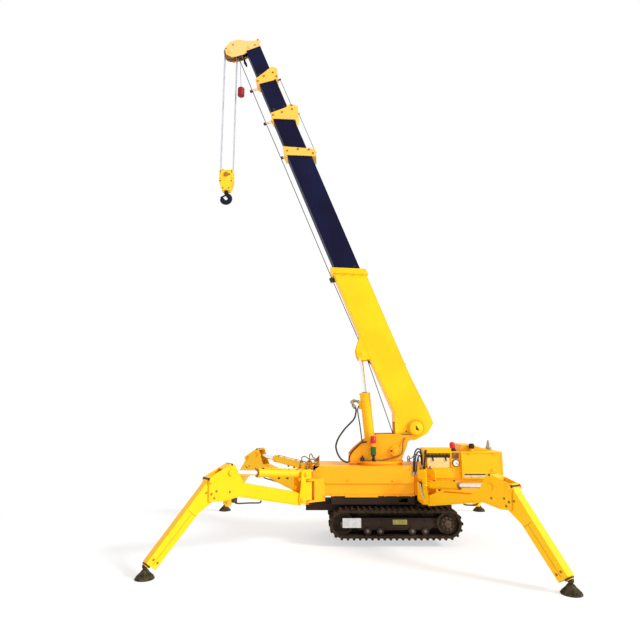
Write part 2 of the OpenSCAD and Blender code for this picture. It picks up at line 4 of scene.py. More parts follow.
import bpy
import numpy as np
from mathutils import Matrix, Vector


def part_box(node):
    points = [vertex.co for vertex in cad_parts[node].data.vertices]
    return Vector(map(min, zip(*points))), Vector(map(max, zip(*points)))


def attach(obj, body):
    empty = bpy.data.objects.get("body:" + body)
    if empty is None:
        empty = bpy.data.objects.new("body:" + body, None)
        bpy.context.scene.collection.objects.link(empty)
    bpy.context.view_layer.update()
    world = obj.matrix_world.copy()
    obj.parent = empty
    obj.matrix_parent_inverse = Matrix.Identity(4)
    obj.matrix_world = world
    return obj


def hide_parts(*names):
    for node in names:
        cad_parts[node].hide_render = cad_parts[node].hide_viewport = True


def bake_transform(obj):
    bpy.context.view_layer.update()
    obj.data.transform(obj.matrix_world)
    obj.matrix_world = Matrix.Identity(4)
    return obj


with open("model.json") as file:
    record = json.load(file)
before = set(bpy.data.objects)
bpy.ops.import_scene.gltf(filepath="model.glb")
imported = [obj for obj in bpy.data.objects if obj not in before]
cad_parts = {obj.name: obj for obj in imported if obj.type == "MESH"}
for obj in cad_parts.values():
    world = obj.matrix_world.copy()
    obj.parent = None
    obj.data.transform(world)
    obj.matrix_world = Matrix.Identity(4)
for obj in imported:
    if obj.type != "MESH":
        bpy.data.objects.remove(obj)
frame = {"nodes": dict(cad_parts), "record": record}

print("frame loaded:", len(frame["nodes"]), "nodes")
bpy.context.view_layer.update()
nodes = frame["nodes"]


# Small helpers for node trees
def newMaterial(name):
    mat = bpy.data.materials.new(name)
    mat.use_nodes = True
    tree = mat.node_tree
    tree.nodes.clear()
    out = tree.nodes.new("ShaderNodeOutputMaterial")
    shader = tree.nodes.new("ShaderNodeBsdfPrincipled")
    tree.links.new(shader.outputs[0], out.inputs[0])
    return mat, tree, shader


def setSocket(tree, socket, value):
    if isinstance(value, bpy.types.NodeSocket):
        tree.links.new(value, socket)
    else:
        socket.default_value = value


def addNode(tree, kind, settings=None, **inputs):
    node = tree.nodes.new(kind)
    for key, value in (settings or {}).items():
        setattr(node, key, value)
    for key, value in inputs.items():
        setSocket(tree, node.inputs[key.replace("_", " ")], value)
    return node


def math2(tree, operation, a, b=0.0, clamp=False):
    node = tree.nodes.new("ShaderNodeMath")
    node.operation = operation
    node.use_clamp = clamp
    setSocket(tree, node.inputs[0], a)
    setSocket(tree, node.inputs[1], b)
    return node.outputs[0]


def mixColour(tree, factor, a, b, blend="MIX"):
    node = tree.nodes.new("ShaderNodeMix")
    node.data_type = "RGBA"
    node.blend_type = blend
    for index, value in ((0, factor), (6, a), (7, b)):
        setSocket(tree, node.inputs[index], value)
    return node.outputs[2]


def ramp(tree, factor, low, high):
    node = addNode(tree, "ShaderNodeMapRange", {"interpolation_type": "SMOOTHSTEP"}, Value=factor)
    node.inputs["From Min"].default_value = low
    node.inputs["From Max"].default_value = high
    return node.outputs[0]


def rgba(colour):
    return (*colour, 1.0)


def scaled(colour, share):
    return rgba([c * share for c in colour])


# Links a shader's colour and bump, and sets or links the sockets that are named
def dress(tree, shader, tone, bump, **sockets):
    tree.links.new(tone, shader.inputs["Base Color"])
    tree.links.new(addNode(tree, "ShaderNodeBump", **bump).outputs[0], shader.inputs["Normal"])
    for key, value in sockets.items():
        setSocket(tree, shader.inputs[key.replace("_", " ")], value)


def objectPlace(tree, stretch=(1, 1, 1)):
    place = addNode(tree, "ShaderNodeTexCoord").outputs["Object"]
    if tuple(stretch) == (1, 1, 1):
        return place
    return addNode(tree, "ShaderNodeMapping", Vector=place, Scale=stretch).outputs[0]


def noise(tree, scale, detail=4.0, stretch=(1, 1, 1)):
    node = addNode(tree, "ShaderNodeTexNoise", Vector=objectPlace(tree, stretch), Scale=scale,
                   Detail=detail)
    return node.outputs[0]


# How far a rounded normal leans from the true one: nothing on flats, rising at an edge
def edgeMask(tree, radius):
    bevel = addNode(tree, "ShaderNodeBevel", {"samples": 4}, Radius=radius)
    true = addNode(tree, "ShaderNodeNewGeometry")
    dot = tree.nodes.new("ShaderNodeVectorMath")
    dot.operation = "DOT_PRODUCT"
    tree.links.new(bevel.outputs[0], dot.inputs[0])
    tree.links.new(true.outputs["Normal"], dot.inputs[1])
    return ramp(tree, math2(tree, "SUBTRACT", 1.0, dot.outputs["Value"]), 0.02, 0.16), bevel.outputs[0]


# Sprayed enamel: slow drift of tone, grime in streaks that run down, chips where edges are rubbed
def enamel(name, colour, rough=0.4, worn=0.45, edge=0.004, shade=0.62, spec=0.14, peel=0.08,
           drift=0.94):
    mat, tree, shader = newMaterial(name)
    tone = mixColour(tree, ramp(tree, noise(tree, 1.7, 3.0), 0.35, 0.68),
                     rgba([colour[0], colour[1] * drift, colour[2] * drift]), rgba(colour))
    streaks = ramp(tree, noise(tree, 7.0, 5.0, (3.2, 3.2, 0.5)), 0.54, 0.82)
    specks = ramp(tree, noise(tree, 46.0, 4.0), 0.62, 0.78)
    tone = mixColour(tree, math2(tree, "MULTIPLY", streaks, 0.2), tone, scaled(colour, shade))
    tone = mixColour(tree, math2(tree, "MULTIPLY", specks, 0.12), tone,
                     rgba([c * 0.5 + 0.03 for c in colour]))
    mask, rounded = edgeMask(tree, edge)
    chips = math2(tree, "MULTIPLY", mask, ramp(tree, noise(tree, 34.0, 5.0), 0.5, 0.6))
    tone = mixColour(tree, math2(tree, "MULTIPLY", chips, worn), tone, rgba((0.13, 0.085, 0.05)))
    bump = {"Strength": peel, "Distance": 0.001, "Height": noise(tree, 210.0, 2.0), "Normal": rounded}
    dress(tree, shader, tone, bump, Specular_IOR_Level=spec,
          Roughness=math2(tree, "ADD", rough, math2(tree, "MULTIPLY", streaks, 0.22)))
    return mat


# Metal, rubber or plastic with a fine grain, darker in its hollows, with settled dust if a tone
# is given
def surface(name, colour, rough, spread=0.12, metallic=0.0, grain=60.0, dark=0.75, spec=0.3, bump=0.1,
            dust=None):
    mat, tree, shader = newMaterial(name)
    tone = mixColour(tree, ramp(tree, noise(tree, grain, 5.0), 0.38, 0.66),
                     scaled(colour, dark), rgba(colour))
    if dust:
        settled = ramp(tree, noise(tree, 11.0, 5.0), 0.5, 0.75)
        tone = mixColour(tree, math2(tree, "MULTIPLY", settled, 0.55), tone, rgba(dust))
    relief = {"Strength": bump, "Distance": 0.001, "Height": noise(tree, grain * 4, 3.0)}
    dress(tree, shader, tone, relief, Metallic=metallic, Specular_IOR_Level=spec,
          Roughness=math2(tree, "ADD", rough, math2(tree, "MULTIPLY", noise(tree, 90.0, 3.0), spread)))
    return mat


# A coloured lens with moulded rings up its height, darker in the rings' troughs as painted shade
def lens(name, colour):
    mat, tree, shader = newMaterial(name)
    rings = addNode(tree, "ShaderNodeTexWave", {"bands_direction": "Z"}, Vector=objectPlace(tree),
                    Scale=46.0)
    # painted shade: the colour darkens where the rings dip
    tone = mixColour(tree, rings.outputs["Fac"], scaled(colour, 0.6), rgba(colour))
    dress(tree, shader, tone, {"Strength": 0.4, "Distance": 0.002, "Height": rings.outputs["Fac"]},
          Roughness=0.2, Coat_Weight=0.15, Coat_Roughness=0.1, Specular_IOR_Level=0.3)
    return mat


ropeRelief = {"Strength": 0.6, "Distance": 0.001}
ropeSheen = {"Roughness": 0.45, "Metallic": 0.5}


# Six laid strands: grooves that wind round the rope, by the turn and length kept on its surface, with
# painted shade darkening the grooves
def windingRope(name, colour, perMetre=104.0):
    mat, tree, shader = newMaterial(name)
    parts = addNode(tree, "ShaderNodeSeparateXYZ", Vector=addNode(tree, "ShaderNodeUVMap").outputs[0])
    phase = math2(tree, "ADD", math2(tree, "MULTIPLY", parts.outputs["X"], 6.0),
                  math2(tree, "MULTIPLY", parts.outputs["Y"], perMetre))
    strand = math2(tree, "PINGPONG", phase, 0.5)
    # painted shade: the colour darkens in the grooves between strands
    tone = mixColour(tree, ramp(tree, strand, 0.02, 0.2), scaled(colour, 0.3), rgba(colour))
    dress(tree, shader, tone, ropeRelief | {"Height": strand}, **ropeSheen)
    return mat


# The same look on upright falls, from slanting bands in the object's own space, with painted shade in
# the troughs between them
def hangingRope(name, colour):
    mat, tree, shader = newMaterial(name)
    bands = addNode(tree, "ShaderNodeTexWave", {"bands_direction": "DIAGONAL"},
                    Vector=objectPlace(tree), Scale=66.0)
    # painted shade: the colour darkens in the troughs between the bands
    tone = mixColour(tree, ramp(tree, bands.outputs["Fac"], 0.1, 0.6), scaled(colour, 0.35),
                     rgba(colour))
    dress(tree, shader, tone, ropeRelief | {"Height": bands.outputs["Fac"]}, **ropeSheen)
    return mat


paint = {
    "crane": (1.0, 0.545, 0.006), "deck": (1.0, 0.445, 0.010), "turret": (1.0, 0.41, 0.008),
    "boom": (1.0, 0.62, 0.008), "head": (1.0, 0.585, 0.19), "collar": (0.98, 0.56, 0.085),
    "cover": (1.0, 0.51, 0.008), "leg": (1.0, 0.56, 0.008), "block": (1.0, 0.60, 0.03),
    "barrel": (1.0, 0.52, 0.008), "navy": (0.0062, 0.0085, 0.040), "frame": (0.034, 0.021, 0.015),
    "pad": (0.075, 0.058, 0.026),
}
craneYellow = enamel("craneYellow", paint["crane"])
deckYellow = enamel("deckYellow", paint["deck"], worn=0.35)
turretYellow = enamel("turretYellow", paint["turret"])
boomYellow = enamel("boomYellow", paint["boom"], worn=0.3, shade=0.72, drift=0.86)
headYellow = enamel("headYellow", paint["head"], worn=0.6, shade=0.6)
collarYellow = enamel("collarYellow", paint["collar"], worn=0.6, shade=0.58)
coverYellow = enamel("coverYellow", paint["cover"], worn=0.3)
legYellow = enamel("legYellow", paint["leg"], worn=0.4)
blockYellow = enamel("blockYellow", paint["block"], worn=0.7, shade=0.5)
boomNavy = enamel("boomNavy", paint["navy"], rough=0.5, worn=0.2, shade=1.7, spec=0.08, drift=0.6)
barrelYellow = enamel("barrelYellow", paint["barrel"], worn=0.3)
frameBlack = enamel("frameBlack", paint["frame"], rough=0.62, worn=0.3, shade=1.4, spec=0.12)
hardChrome = surface("hardChrome", (0.9, 0.88, 0.84), 0.12, 0.08, 1.0, 20.0, 0.93, 0.5, 0.02)
wornSteel = surface("wornSteel", (0.42, 0.4, 0.37), 0.35, 0.25, 0.9, 50.0, 0.7)
pinSteel = surface("pinSteel", (0.075, 0.058, 0.045), 0.5, 0.25, 0.3, 70.0, 0.6, 0.2, 0.2)
darkIron = surface("darkIron", (0.05, 0.036, 0.028), 0.55, 0.2, 0.1, 40.0, 0.6, 0.15, 0.25)
hookBlack = surface("hookBlack", (0.009, 0.013, 0.032), 0.42, 0.2, 0.0, 40.0, 0.6, 0.12, 0.2)
padIron = surface("padIron", paint["pad"], 0.65, 0.2, 0.0, 26.0, 0.35, 0.15, 0.4, (0.11, 0.085, 0.045))
hubIron = surface("hubIron", (0.10, 0.072, 0.044), 0.6, 0.2, 0.1, 30.0, 0.5, 0.15, 0.4,
                  (0.15, 0.1, 0.055))
trackRubber = surface("trackRubber", (0.044, 0.030, 0.018), 0.85, 0.1, 0.0, 24.0, 0.5, 0.06, 0.5,
                      (0.055, 0.037, 0.022))
hoseRubber = surface("hoseRubber", (0.036, 0.03, 0.018), 0.5, 0.15, 0.0, 120.0, 0.7, 0.3, 0.2)
hoseBrown = surface("hoseBrown", (0.30, 0.19, 0.06), 0.5, 0.15, 0.0, 90.0, 0.5, 0.3, 0.2)
boltBrown = surface("boltBrown", (0.50, 0.23, 0.03), 0.5, 0.2, 0.0, 60.0, 0.5, 0.2, 0.2)
seamBrown = surface("seamBrown", (0.55, 0.24, 0.02), 0.6, 0.15, 0.0, 30.0, 0.7, 0.15, 0.1)
blackPlastic = surface("blackPlastic", (0.018, 0.015, 0.014), 0.45, 0.15, 0.0, 90.0, 0.7, 0.3, 0.2)
greyPipe = surface("greyPipe", (0.5, 0.48, 0.43), 0.4, 0.2, 0.8, 40.0, 0.6, 0.4, 0.2)
panelCream = surface("panelCream", (0.93, 0.66, 0.28), 0.5, 0.12, 0.0, 16.0, 0.88, 0.2, 0.05)
plateWhite = surface("plateWhite", (0.62, 0.62, 0.6), 0.45, 0.12, 0.0, 20.0, 0.8, 0.25, 0.05)
capGrey = surface("capGrey", (0.20, 0.155, 0.13), 0.5, 0.12, 0.0, 60.0, 0.6, 0.25, 0.1)
plateOlive = surface("plateOlive", (0.42, 0.4, 0.1), 0.5, 0.12, 0.0, 20.0, 0.75, 0.2, 0.05)
dialWhite = surface("dialWhite", (0.85, 0.8, 0.72), 0.3, 0.08, 0.0, 16.0, 0.95, 0.3, 0.02)
brassFitting = surface("brassFitting", (0.42, 0.36, 0.2), 0.45, 0.2, 0.5, 60.0, 0.6)
redPaint = surface("redPaint", (0.33, 0.01, 0.018), 0.5, 0.15, 0.0, 30.0, 0.45, 0.25, 0.1)
brownRust = surface("brownRust", (0.32, 0.17, 0.06), 0.7, 0.2, 0.0, 30.0, 0.6, 0.15, 0.3)
redLens = lens("redLens", (0.72, 0.028, 0.008))
amberLens = lens("amberLens", (1.0, 0.38, 0.03))
greenLens = lens("greenLens", (0.012, 0.15, 0.035))
wireRope = windingRope("wireRope", (0.13, 0.13, 0.15))
fallRope = hangingRope("fallRope", (0.55, 0.55, 0.62))

finishes = {
    "yellow_paint": craneYellow, "navy_paint": boomNavy, "black_paint": frameBlack,
    "bright_steel": hardChrome, "track_rubber": trackRubber, "dark_iron": darkIron,
    "steel_rope": fallRope, "black_plastic": blackPlastic, "red_lens": redLens,
    "grey_steel": greyPipe,
}
ownFinish = {
    "deck_frame": deckYellow, "turret": turretYellow, "boom_base": boomYellow, "boom_head": headYellow,
    "boom_collar_2": collarYellow, "boom_collar_3": collarYellow, "boom_collar_4": collarYellow,
    "engine_cover": coverYellow, "console": coverYellow, "hook_block": blockYellow, "hook": hookBlack,
    "rope_falls": fallRope, "slew_ring": turretYellow, "luff_barrel": barrelYellow,
    "head_sheaves": surface("sheaveBrown", (0.42, 0.2, 0.06), 0.55, 0.2, 0.2, 40.0, 0.6),
}
corners = ("front_left", "front_right", "rear_left", "rear_right")
for corner in corners:
    ownFinish[corner + "_leg"] = legYellow
    ownFinish[corner + "_foot"] = padIron
for piece in frame["record"]["subparts"]:
    mesh = nodes[piece["node"]].data
    mesh.materials.clear()
    mesh.materials.append(ownFinish.get(piece["node"], finishes[piece["material_slot"]]))
print("finishes assigned")


# A part is its points and its faces: four-sided ones as an array, caps as lists

def part(points, quads, caps=(), turn=None):
    points = np.asarray(points, float)
    turn = np.zeros((len(points), 2)) if turn is None else turn
    return {"points": points, "quads": np.asarray(quads, int).reshape(-1, 4),
            "caps": [list(c) for c in caps], "turn": turn}


# The faces of a grid of rows and columns whose columns close into a ring
def ringQuads(rows, sides):
    j = np.arange(sides)
    k = (j + 1) % sides
    base = (np.arange(rows - 1) * sides)[:, None]
    return np.stack([base + j, base + k, base + sides + k, base + sides + j], -1).reshape(-1, 4)


# A profile of radius and height turned about z: x is radius times cosine, y radius times sine
def turned(profile, sides=24):
    profile = np.asarray(profile, float)
    angle = np.arange(sides) * 2 * np.pi / sides + np.pi / sides
    radius, height = profile[:, :1], profile[:, 1:]
    points = np.stack([radius * np.cos(angle), radius * np.sin(angle), height + 0 * angle],
                      -1).reshape(-1, 3)
    last = (len(profile) - 1) * sides
    return part(points, ringQuads(len(profile), sides),
                [list(range(sides))[::-1], list(range(last, last + sides))])


# An outline in x and y lifted from low to high; it may wind either way
def prism(outline, low, high):
    outline = np.asarray(outline, float)
    step = np.roll(outline, -1, 0)
    if (outline[:, 0] * step[:, 1] - outline[:, 1] * step[:, 0]).sum() < 0:
        outline = outline[::-1]
    count = len(outline)
    points = np.concatenate([np.c_[outline, np.full(count, low)], np.c_[outline, np.full(count, high)]])
    return part(points, ringQuads(2, count), [list(range(count))[::-1], list(range(count, 2 * count))])


def block(low, high):
    (x0, y0, z0), (x1, y1, z1) = low, high
    return prism([(x0, y0), (x1, y0), (x1, y1), (x0, y1)], z0, z1)


# A rectangle with its corners turned into quarter circles
def roundedOutline(x0, x1, y0, y1, radius, steps=4):
    a = np.linspace(0, np.pi / 2, steps + 1)
    corner = np.stack([np.cos(a), np.sin(a)], -1) * radius
    turns = [(x1 - radius, y1 - radius, 0), (x0 + radius, y1 - radius, 1),
             (x0 + radius, y0 + radius, 2), (x1 - radius, y0 + radius, 3)]
    spin = [np.array([[1, 0], [0, 1]]), np.array([[0, 1], [-1, 0]]), np.array([[-1, 0], [0, -1]]),
            np.array([[0, -1], [1, 0]])]
    return np.concatenate([corner @ spin[n] + (x, y) for x, y, n in turns])


# A smooth line through a few points: each span is the cubic that passes its ends and looks to its
# neighbours
def smoothLine(points, steps=6):
    p = np.asarray(points, float)
    p = np.concatenate([[2 * p[0] - p[1]], p, [2 * p[-1] - p[-2]]])
    t = (np.arange(steps) / steps)[None, :, None]
    a, b, c, d = (p[i:len(p) - 3 + i][:, None] for i in range(4))
    line = 0.5 * (2 * b + (c - a) * t + (2 * a - 5 * b + 4 * c - d) * t ** 2 +
                  (3 * b - a - 3 * c + d) * t ** 3)
    return np.concatenate([line.reshape(-1, 3), p[-2:-1]])


# A ring carried along a path and square to it; radius may change along the way, or differ in its
# two directions
def tube(path, radius, sides=10):
    path = np.asarray(path, float)
    ahead = np.gradient(path, axis=0)
    ahead /= np.linalg.norm(ahead, axis=1, keepdims=True)
    aside = np.cross(ahead, np.eye(3)[np.argmin(np.abs(ahead).mean(0))])
    aside /= np.linalg.norm(aside, axis=1, keepdims=True)
    over = np.cross(ahead, aside)
    angle = np.arange(sides) * 2 * np.pi / sides
    size = np.asarray(radius, float)
    size = size if size.ndim == 2 else np.broadcast_to(np.atleast_1d(size)[:, None], (len(path), 2))
    points = (path[:, None] + aside[:, None] * size[:, :1, None] * np.cos(angle)[None, :, None]
              + over[:, None] * size[:, 1:, None] * np.sin(angle)[None, :, None]).reshape(-1, 3)
    run = np.r_[0, np.cumsum(np.linalg.norm(np.diff(path, axis=0), axis=1))]
    turn = np.stack([np.tile(np.arange(sides) / sides, len(path)), np.repeat(run, sides)], -1)
    last = (len(path) - 1) * sides
    return part(points, ringQuads(len(path), sides),
                [list(range(sides))[::-1], list(range(last, last + sides))], turn)


def hose(points, radius=0.008, sides=10, steps=6):
    return tube(smoothLine(points, steps), radius, sides)


def bar(start, end, radius, sides=12):
    return tube([start, end], radius, sides)


def joined(parts):
    counts = np.cumsum([0] + [len(p["points"]) for p in parts])
    return part(np.concatenate([p["points"] for p in parts]),
                np.concatenate([p["quads"] + n for p, n in zip(parts, counts)]),
                [[i + int(n) for i in cap] for p, n in zip(parts, counts) for cap in p["caps"]],
                np.concatenate([p["turn"] for p in parts]))


# Axes are the directions that the part's own x, y and z take; a mirrored set turns the faces back
def placed(shape, origin=(0, 0, 0), axes=np.eye(3)):
    axes = np.asarray(axes, float)
    points = shape["points"] @ axes + np.asarray(origin, float)
    if np.linalg.det(axes) < 0:
        return part(points, shape["quads"][:, ::-1], [c[::-1] for c in shape["caps"]], shape["turn"])
    return part(points, shape["quads"], shape["caps"], shape["turn"])


# Shapes together with their mirror image on the machine's other side
def bothSides(shapes):
    shape = joined(shapes) if isinstance(shapes, list) else shapes
    return joined([shape, placed(shape, axes=np.diag([1, -1, 1]))])


faceLeft = np.array([[1, 0, 0], [0, 0, -1], [0, 1, 0]])  # a part's z looks along +y
faceAhead = np.array([[0, 1, 0], [0, 0, 1], [1, 0, 0]])  # along +x
faceDown = np.diag([1, -1, -1])  # along -z


# An outline in x and z with a thickness along y
def upright(outline, low, high):
    return placed(prism(outline, low, high), axes=[[1, 0, 0], [0, 0, 1], [0, 1, 0]])


# A plate with rounded corners standing in x and z
def plate(x0, x1, z0, z1, low, high, radius=0.004):
    return upright(roundedOutline(x0, x1, z0, z1, radius), low, high)


def hexBolt(width, height=None):
    r = width / 2
    height = height or width * 0.34
    washer = turned([(r * 1.35, 0), (r * 1.35, r * 0.22), (r * 0.2, r * 0.22)], 14)
    head = turned([(r, 0), (r, height), (r * 0.8, height + r * 0.14)], 6)
    return joined([washer, head])


# Bolt heads that look sideways, one at each place
def boltsAt(width, places):
    return [placed(hexBolt(width), place, faceLeft) for place in places]


# Bolt heads at even angles round z: x is radius times cosine, y radius times sine. None stands
# nearer to the middle than clear
def boltRing(width, count, radius, height, clear=-1):
    return [placed(hexBolt(width), (radius * math.cos(a), radius * math.sin(a), height))
            for a in np.arange(count) * 2 * math.pi / count if abs(radius * math.sin(a)) > clear]


# A hex collar and a swaged sleeve, as on the end of a pressure hose, along z
def hoseEnd(radius):
    return joined([turned([(radius * 1.75, 0), (radius * 1.75, radius * 1.6),
                           (radius * 1.5, radius * 1.8)], 6),
                   turned([(radius * 1.3, 0), (radius * 1.3, radius * 4),
                           (radius * 1.05, radius * 4.4)], 12)])


# Puts parts into one mesh at rest: faces as given, crisp where they turn by more than the angle
def build(name, shapes, material, body, place=None, bevel=0.0, crisp=35):
    shape = joined(shapes if isinstance(shapes, list) else [shapes])
    if place is not None:
        shape = placed(shape, *place)
    mesh = bpy.data.meshes.new(name)
    mesh.from_pydata((shape["points"] + home).tolist(), [], shape["quads"].tolist() + shape["caps"])
    mesh.update()
    corner = np.zeros(len(mesh.loops), int)
    mesh.loops.foreach_get("vertex_index", corner)
    turn = shape["turn"][corner]
    count = len(shape["quads"]) * 4  # the last strip round a tube goes on past its seam
    strips = turn[:count].reshape(-1, 4, 2)
    past = (np.ptp(strips[:, :, 0], axis=1) > 0.5)[:, None] & (strips[:, :, 0] < 0.5)
    strips[:, :, 0] += past
    mesh.uv_layers.new(name="turn").data.foreach_set("uv", turn.astype(np.float32).ravel())
    mesh.polygons.foreach_set("use_smooth", np.ones(len(mesh.polygons), bool))
    mesh.set_sharp_from_angle(angle=math.radians(crisp))
    mesh.materials.append(material)
    piece = bpy.data.objects.new(name, mesh)
    bpy.context.scene.collection.objects.link(piece)
    if bevel:
        rounding = piece.modifiers.new("rounding", "BEVEL")
        rounding.width, rounding.segments, rounding.limit_method = bevel, 2, "ANGLE"
    if body:
        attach(piece, body)
    return piece


# A line held between two parts that one joint connects: built where it lies and baked in place,
# attached to neither part
def across(name, shapes, material):
    piece = build(name, shapes, material, None)
    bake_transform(piece)
    return piece


# Where the machine's own zero stands in the row's frame, and the frames that its parts are drawn in
ringLow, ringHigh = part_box("slew_ring")
leftHigh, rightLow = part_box("track_left")[1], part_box("track_right")[0]
slewX = -0.478
home = np.array([(ringLow[0] + ringHigh[0]) / 2 - slewX, (leftHigh[1] + rightLow[1]) / 2, 0.0])

# The machine's stance: angles in degrees, places as x and z or along and across the boom
stance = {"boomAngle": 68.1, "foot": (-0.932, 1.361), "headAt": 5.934, "headSheave": (0.094, -0.331),
          "luffBase": (-0.370, 1.065), "luffEye": (1.141, -0.2775), "fall": 1.885, "sag": 1.3,
          "king": {"front": (0.453, 0.36), "rear": (-0.9602, 0.36)},
          "spread": {"front_left": 37.6, "front_right": 45.0, "rear_left": 58.5, "rear_right": 46.0},
          "reach": {"front": 1.920, "rear": 1.840}}

# An outrigger: root, knee, barrel base and rod eye as x and z from its king pin
outrigger = {"root": (0.120, 0.545), "knee": (1.295, 0.860), "eyeX": 1.065, "padTop": 0.112,
             "legDrop": 0.024, "armHalf": 0.065, "bolt": 0.020, "hose": 0.0065, "ribs": 8,
             "kneeBolts": ((1.228, 0.745), (1.070, 0.722), (1.250, 0.676), (1.285, 0.720)),
             "front": {"base": (0.070, 0.828), "eyeZ": 0.920, "barrel": 0.630, "ports": (0.210, 0.330),
                       "cornerPin": 0.084, "inner": 0.335},
             "rear": {"base": (0.115, 0.705), "eyeZ": 0.835, "barrel": 0.475, "ports": (0.150,),
                      "cornerPin": 0.116, "inner": -0.880}}


# One frame drawn inside another
def within(inner, outer):
    return inner[0] @ outer[1] + outer[0], inner[1] @ outer[1]


# The frame at a point whose x leans down by the angle, about y
def leaning(x, z, degrees):
    a = math.radians(degrees)
    return (np.array([x, 0.0, z]),
            np.array([[math.cos(a), 0, -math.sin(a)], [0, 1, 0], [math.sin(a), 0, math.cos(a)]]))


boomPlace = leaning(*stance["foot"], -stance["boomAngle"])  # x up the boom, z towards its back


def onBoom(u, y, w):
    return np.array([u, y, w]) @ boomPlace[1] + boomPlace[0]


luffTop = onBoom(stance["luffEye"][0], 0, stance["luffEye"][1])
luffRise = math.degrees(math.atan2(luffTop[2] - stance["luffBase"][1],
                                   luffTop[0] - stance["luffBase"][0]))
luffPlace = leaning(*stance["luffBase"], -luffRise)  # x up the cylinder
headPlace = within((np.array([stance["headAt"], 0, 0]), np.eye(3)), boomPlace)
hangX, _, hangZ = onBoom(stance["headAt"] + stance["headSheave"][0], 0, stance["headSheave"][1])
blockPlace = (np.array([hangX, 0, hangZ - stance["fall"] - 0.07]), np.eye(3))


# An outrigger's frame: x outwards from its king pin, mirrored on the right side
def cornerPlace(corner):
    front, left = corner.startswith("front"), corner.endswith("left")
    angle = math.radians(stance["spread"][corner] if front else 180 - stance["spread"][corner])
    mirror = np.diag([1, 1 if left else -1, 1])
    axes = np.array([[math.cos(angle), math.sin(angle), 0], [-math.sin(angle), math.cos(angle), 0],
                     [0, 0, 1]])
    return np.array([*stance["king"]["front" if front else "rear"], 0]) @ mirror, axes @ mirror


# The frames of its arm, which hangs a little at the rear, of its leg from the knee, and of its cylinder
def outriggerPlaces(corner):
    front = corner.startswith("front")
    at = cornerPlace(corner)
    turn = leaning(0, 0, 0 if front else stance["sag"])[1]
    end, drop = "front" if front else "rear", outrigger["legDrop"]
    root = np.array([outrigger["root"][0], 0, outrigger["root"][1]])
    arm = (root - root @ turn, turn)
    knee = np.array([outrigger["knee"][0], 0, outrigger["knee"][1]]) @ turn + arm[0]
    run, rise = stance["reach"][end] - knee[0], knee[2] - outrigger["padTop"]
    lean = math.degrees(math.atan2(rise, run) - math.asin(drop / math.hypot(run, rise)))
    length = math.sqrt(run ** 2 + rise ** 2 - drop ** 2) - drop
    base = outrigger[end]["base"]
    eye = np.array([outrigger["eyeX"], 0, outrigger[end]["eyeZ"]]) @ turn + arm[0]
    slope = math.degrees(math.atan2(eye[2] - base[1], eye[0] - base[0]))
    return {"post": at, "arm": within(arm, at), "leg": within(leaning(knee[0], knee[2], lean), at),
            "lift": within(leaning(*base, -slope), at), "legLength": length}


print("helpers ready, machine zero at", home.round(4))


# Camera and stage
studio = {"floorTone": 0.92, "paleShare": 0.55, "fadeStart": 2.6, "fadeEnd": 5.5, "worldLevel": 0.85,
          "keyLevel": 2.9, "keyFrom": (-0.8, 0.35, 0.5), "keySpread": 14}

cam = bpy.data.cameras.new("camera")
cam.lens, cam.sensor_width = 28.125, 36.0
camera = bpy.data.objects.new("camera", cam)
camera.location = (0.4246, 6.5744, 1.61)
camera.rotation_euler = (math.radians(100), 0, math.radians(180))
bpy.context.scene.collection.objects.link(camera)
bpy.context.scene.camera = camera
bpy.context.scene.view_settings.view_transform = "Standard"

floorMesh = bpy.data.meshes.new("floor")
floorMesh.from_pydata([(-60, -60, 0), (60, -60, 0), (60, 60, 0), (-60, 60, 0)], [], [(0, 1, 2, 3)])
floor = bpy.data.objects.new("floor", floorMesh)
bpy.context.scene.collection.objects.link(floor)
floorMat, tree, shader = newMaterial("paleFloor")
shader.inputs["Base Color"].default_value = rgba([studio["floorTone"]] * 3)
shader.inputs["Roughness"].default_value = 0.9
reach = addNode(tree, "ShaderNodeVectorMath", {"operation": "LENGTH"})
tree.links.new(objectPlace(tree), reach.inputs[0])
far = ramp(tree, reach.outputs["Value"], studio["fadeStart"], studio["fadeEnd"])
share = math2(tree, "MAXIMUM", far, studio["paleShare"])
glow = addNode(tree, "ShaderNodeEmission", Color=(1, 1, 1, 1), Strength=1.0)
blend = tree.nodes.new("ShaderNodeMixShader")
seen = addNode(tree, "ShaderNodeLightPath").outputs["Is Camera Ray"]
tree.links.new(math2(tree, "MULTIPLY", share, seen), blend.inputs[0])
tree.links.new(shader.outputs[0], blend.inputs[1])
tree.links.new(glow.outputs[0], blend.inputs[2])
tree.links.new(blend.outputs[0], tree.nodes["Material Output"].inputs[0])
floorMesh.materials.append(floorMat)

world = bpy.data.worlds.new("softDay")
bpy.context.scene.world = world
world.use_nodes = True
tree = world.node_tree
tree.nodes.clear()
out = tree.nodes.new("ShaderNodeOutputWorld")
ambient = addNode(tree, "ShaderNodeBackground", Color=(1, 1, 1, 1), Strength=studio["worldLevel"])
white = addNode(tree, "ShaderNodeBackground", Color=(1, 1, 1, 1), Strength=1.0)
pick = tree.nodes.new("ShaderNodeMixShader")
rays = addNode(tree, "ShaderNodeLightPath")
direct = math2(tree, "ADD", rays.outputs["Is Camera Ray"], rays.outputs["Is Glossy Ray"], clamp=True)
tree.links.new(direct, pick.inputs[0])
tree.links.new(ambient.outputs[0], pick.inputs[1])
tree.links.new(white.outputs[0], pick.inputs[2])
tree.links.new(pick.outputs[0], out.inputs[0])


def addSun(name, source, strength, spread):
    lamp = bpy.data.lights.new(name, "SUN")
    lamp.energy = strength
    lamp.angle = math.radians(spread)
    sun = bpy.data.objects.new(name, lamp)
    x, y, z = source  # a sun shines down its own -z, so its z looks at where the light comes from
    sun.rotation_euler = (math.atan2(math.hypot(x, y), z), 0, math.atan2(x, -y))
    bpy.context.scene.collection.objects.link(sun)


addSun("keySun", studio["keyFrom"], studio["keyLevel"], studio["keySpread"])
print("stage, lamps and camera set")


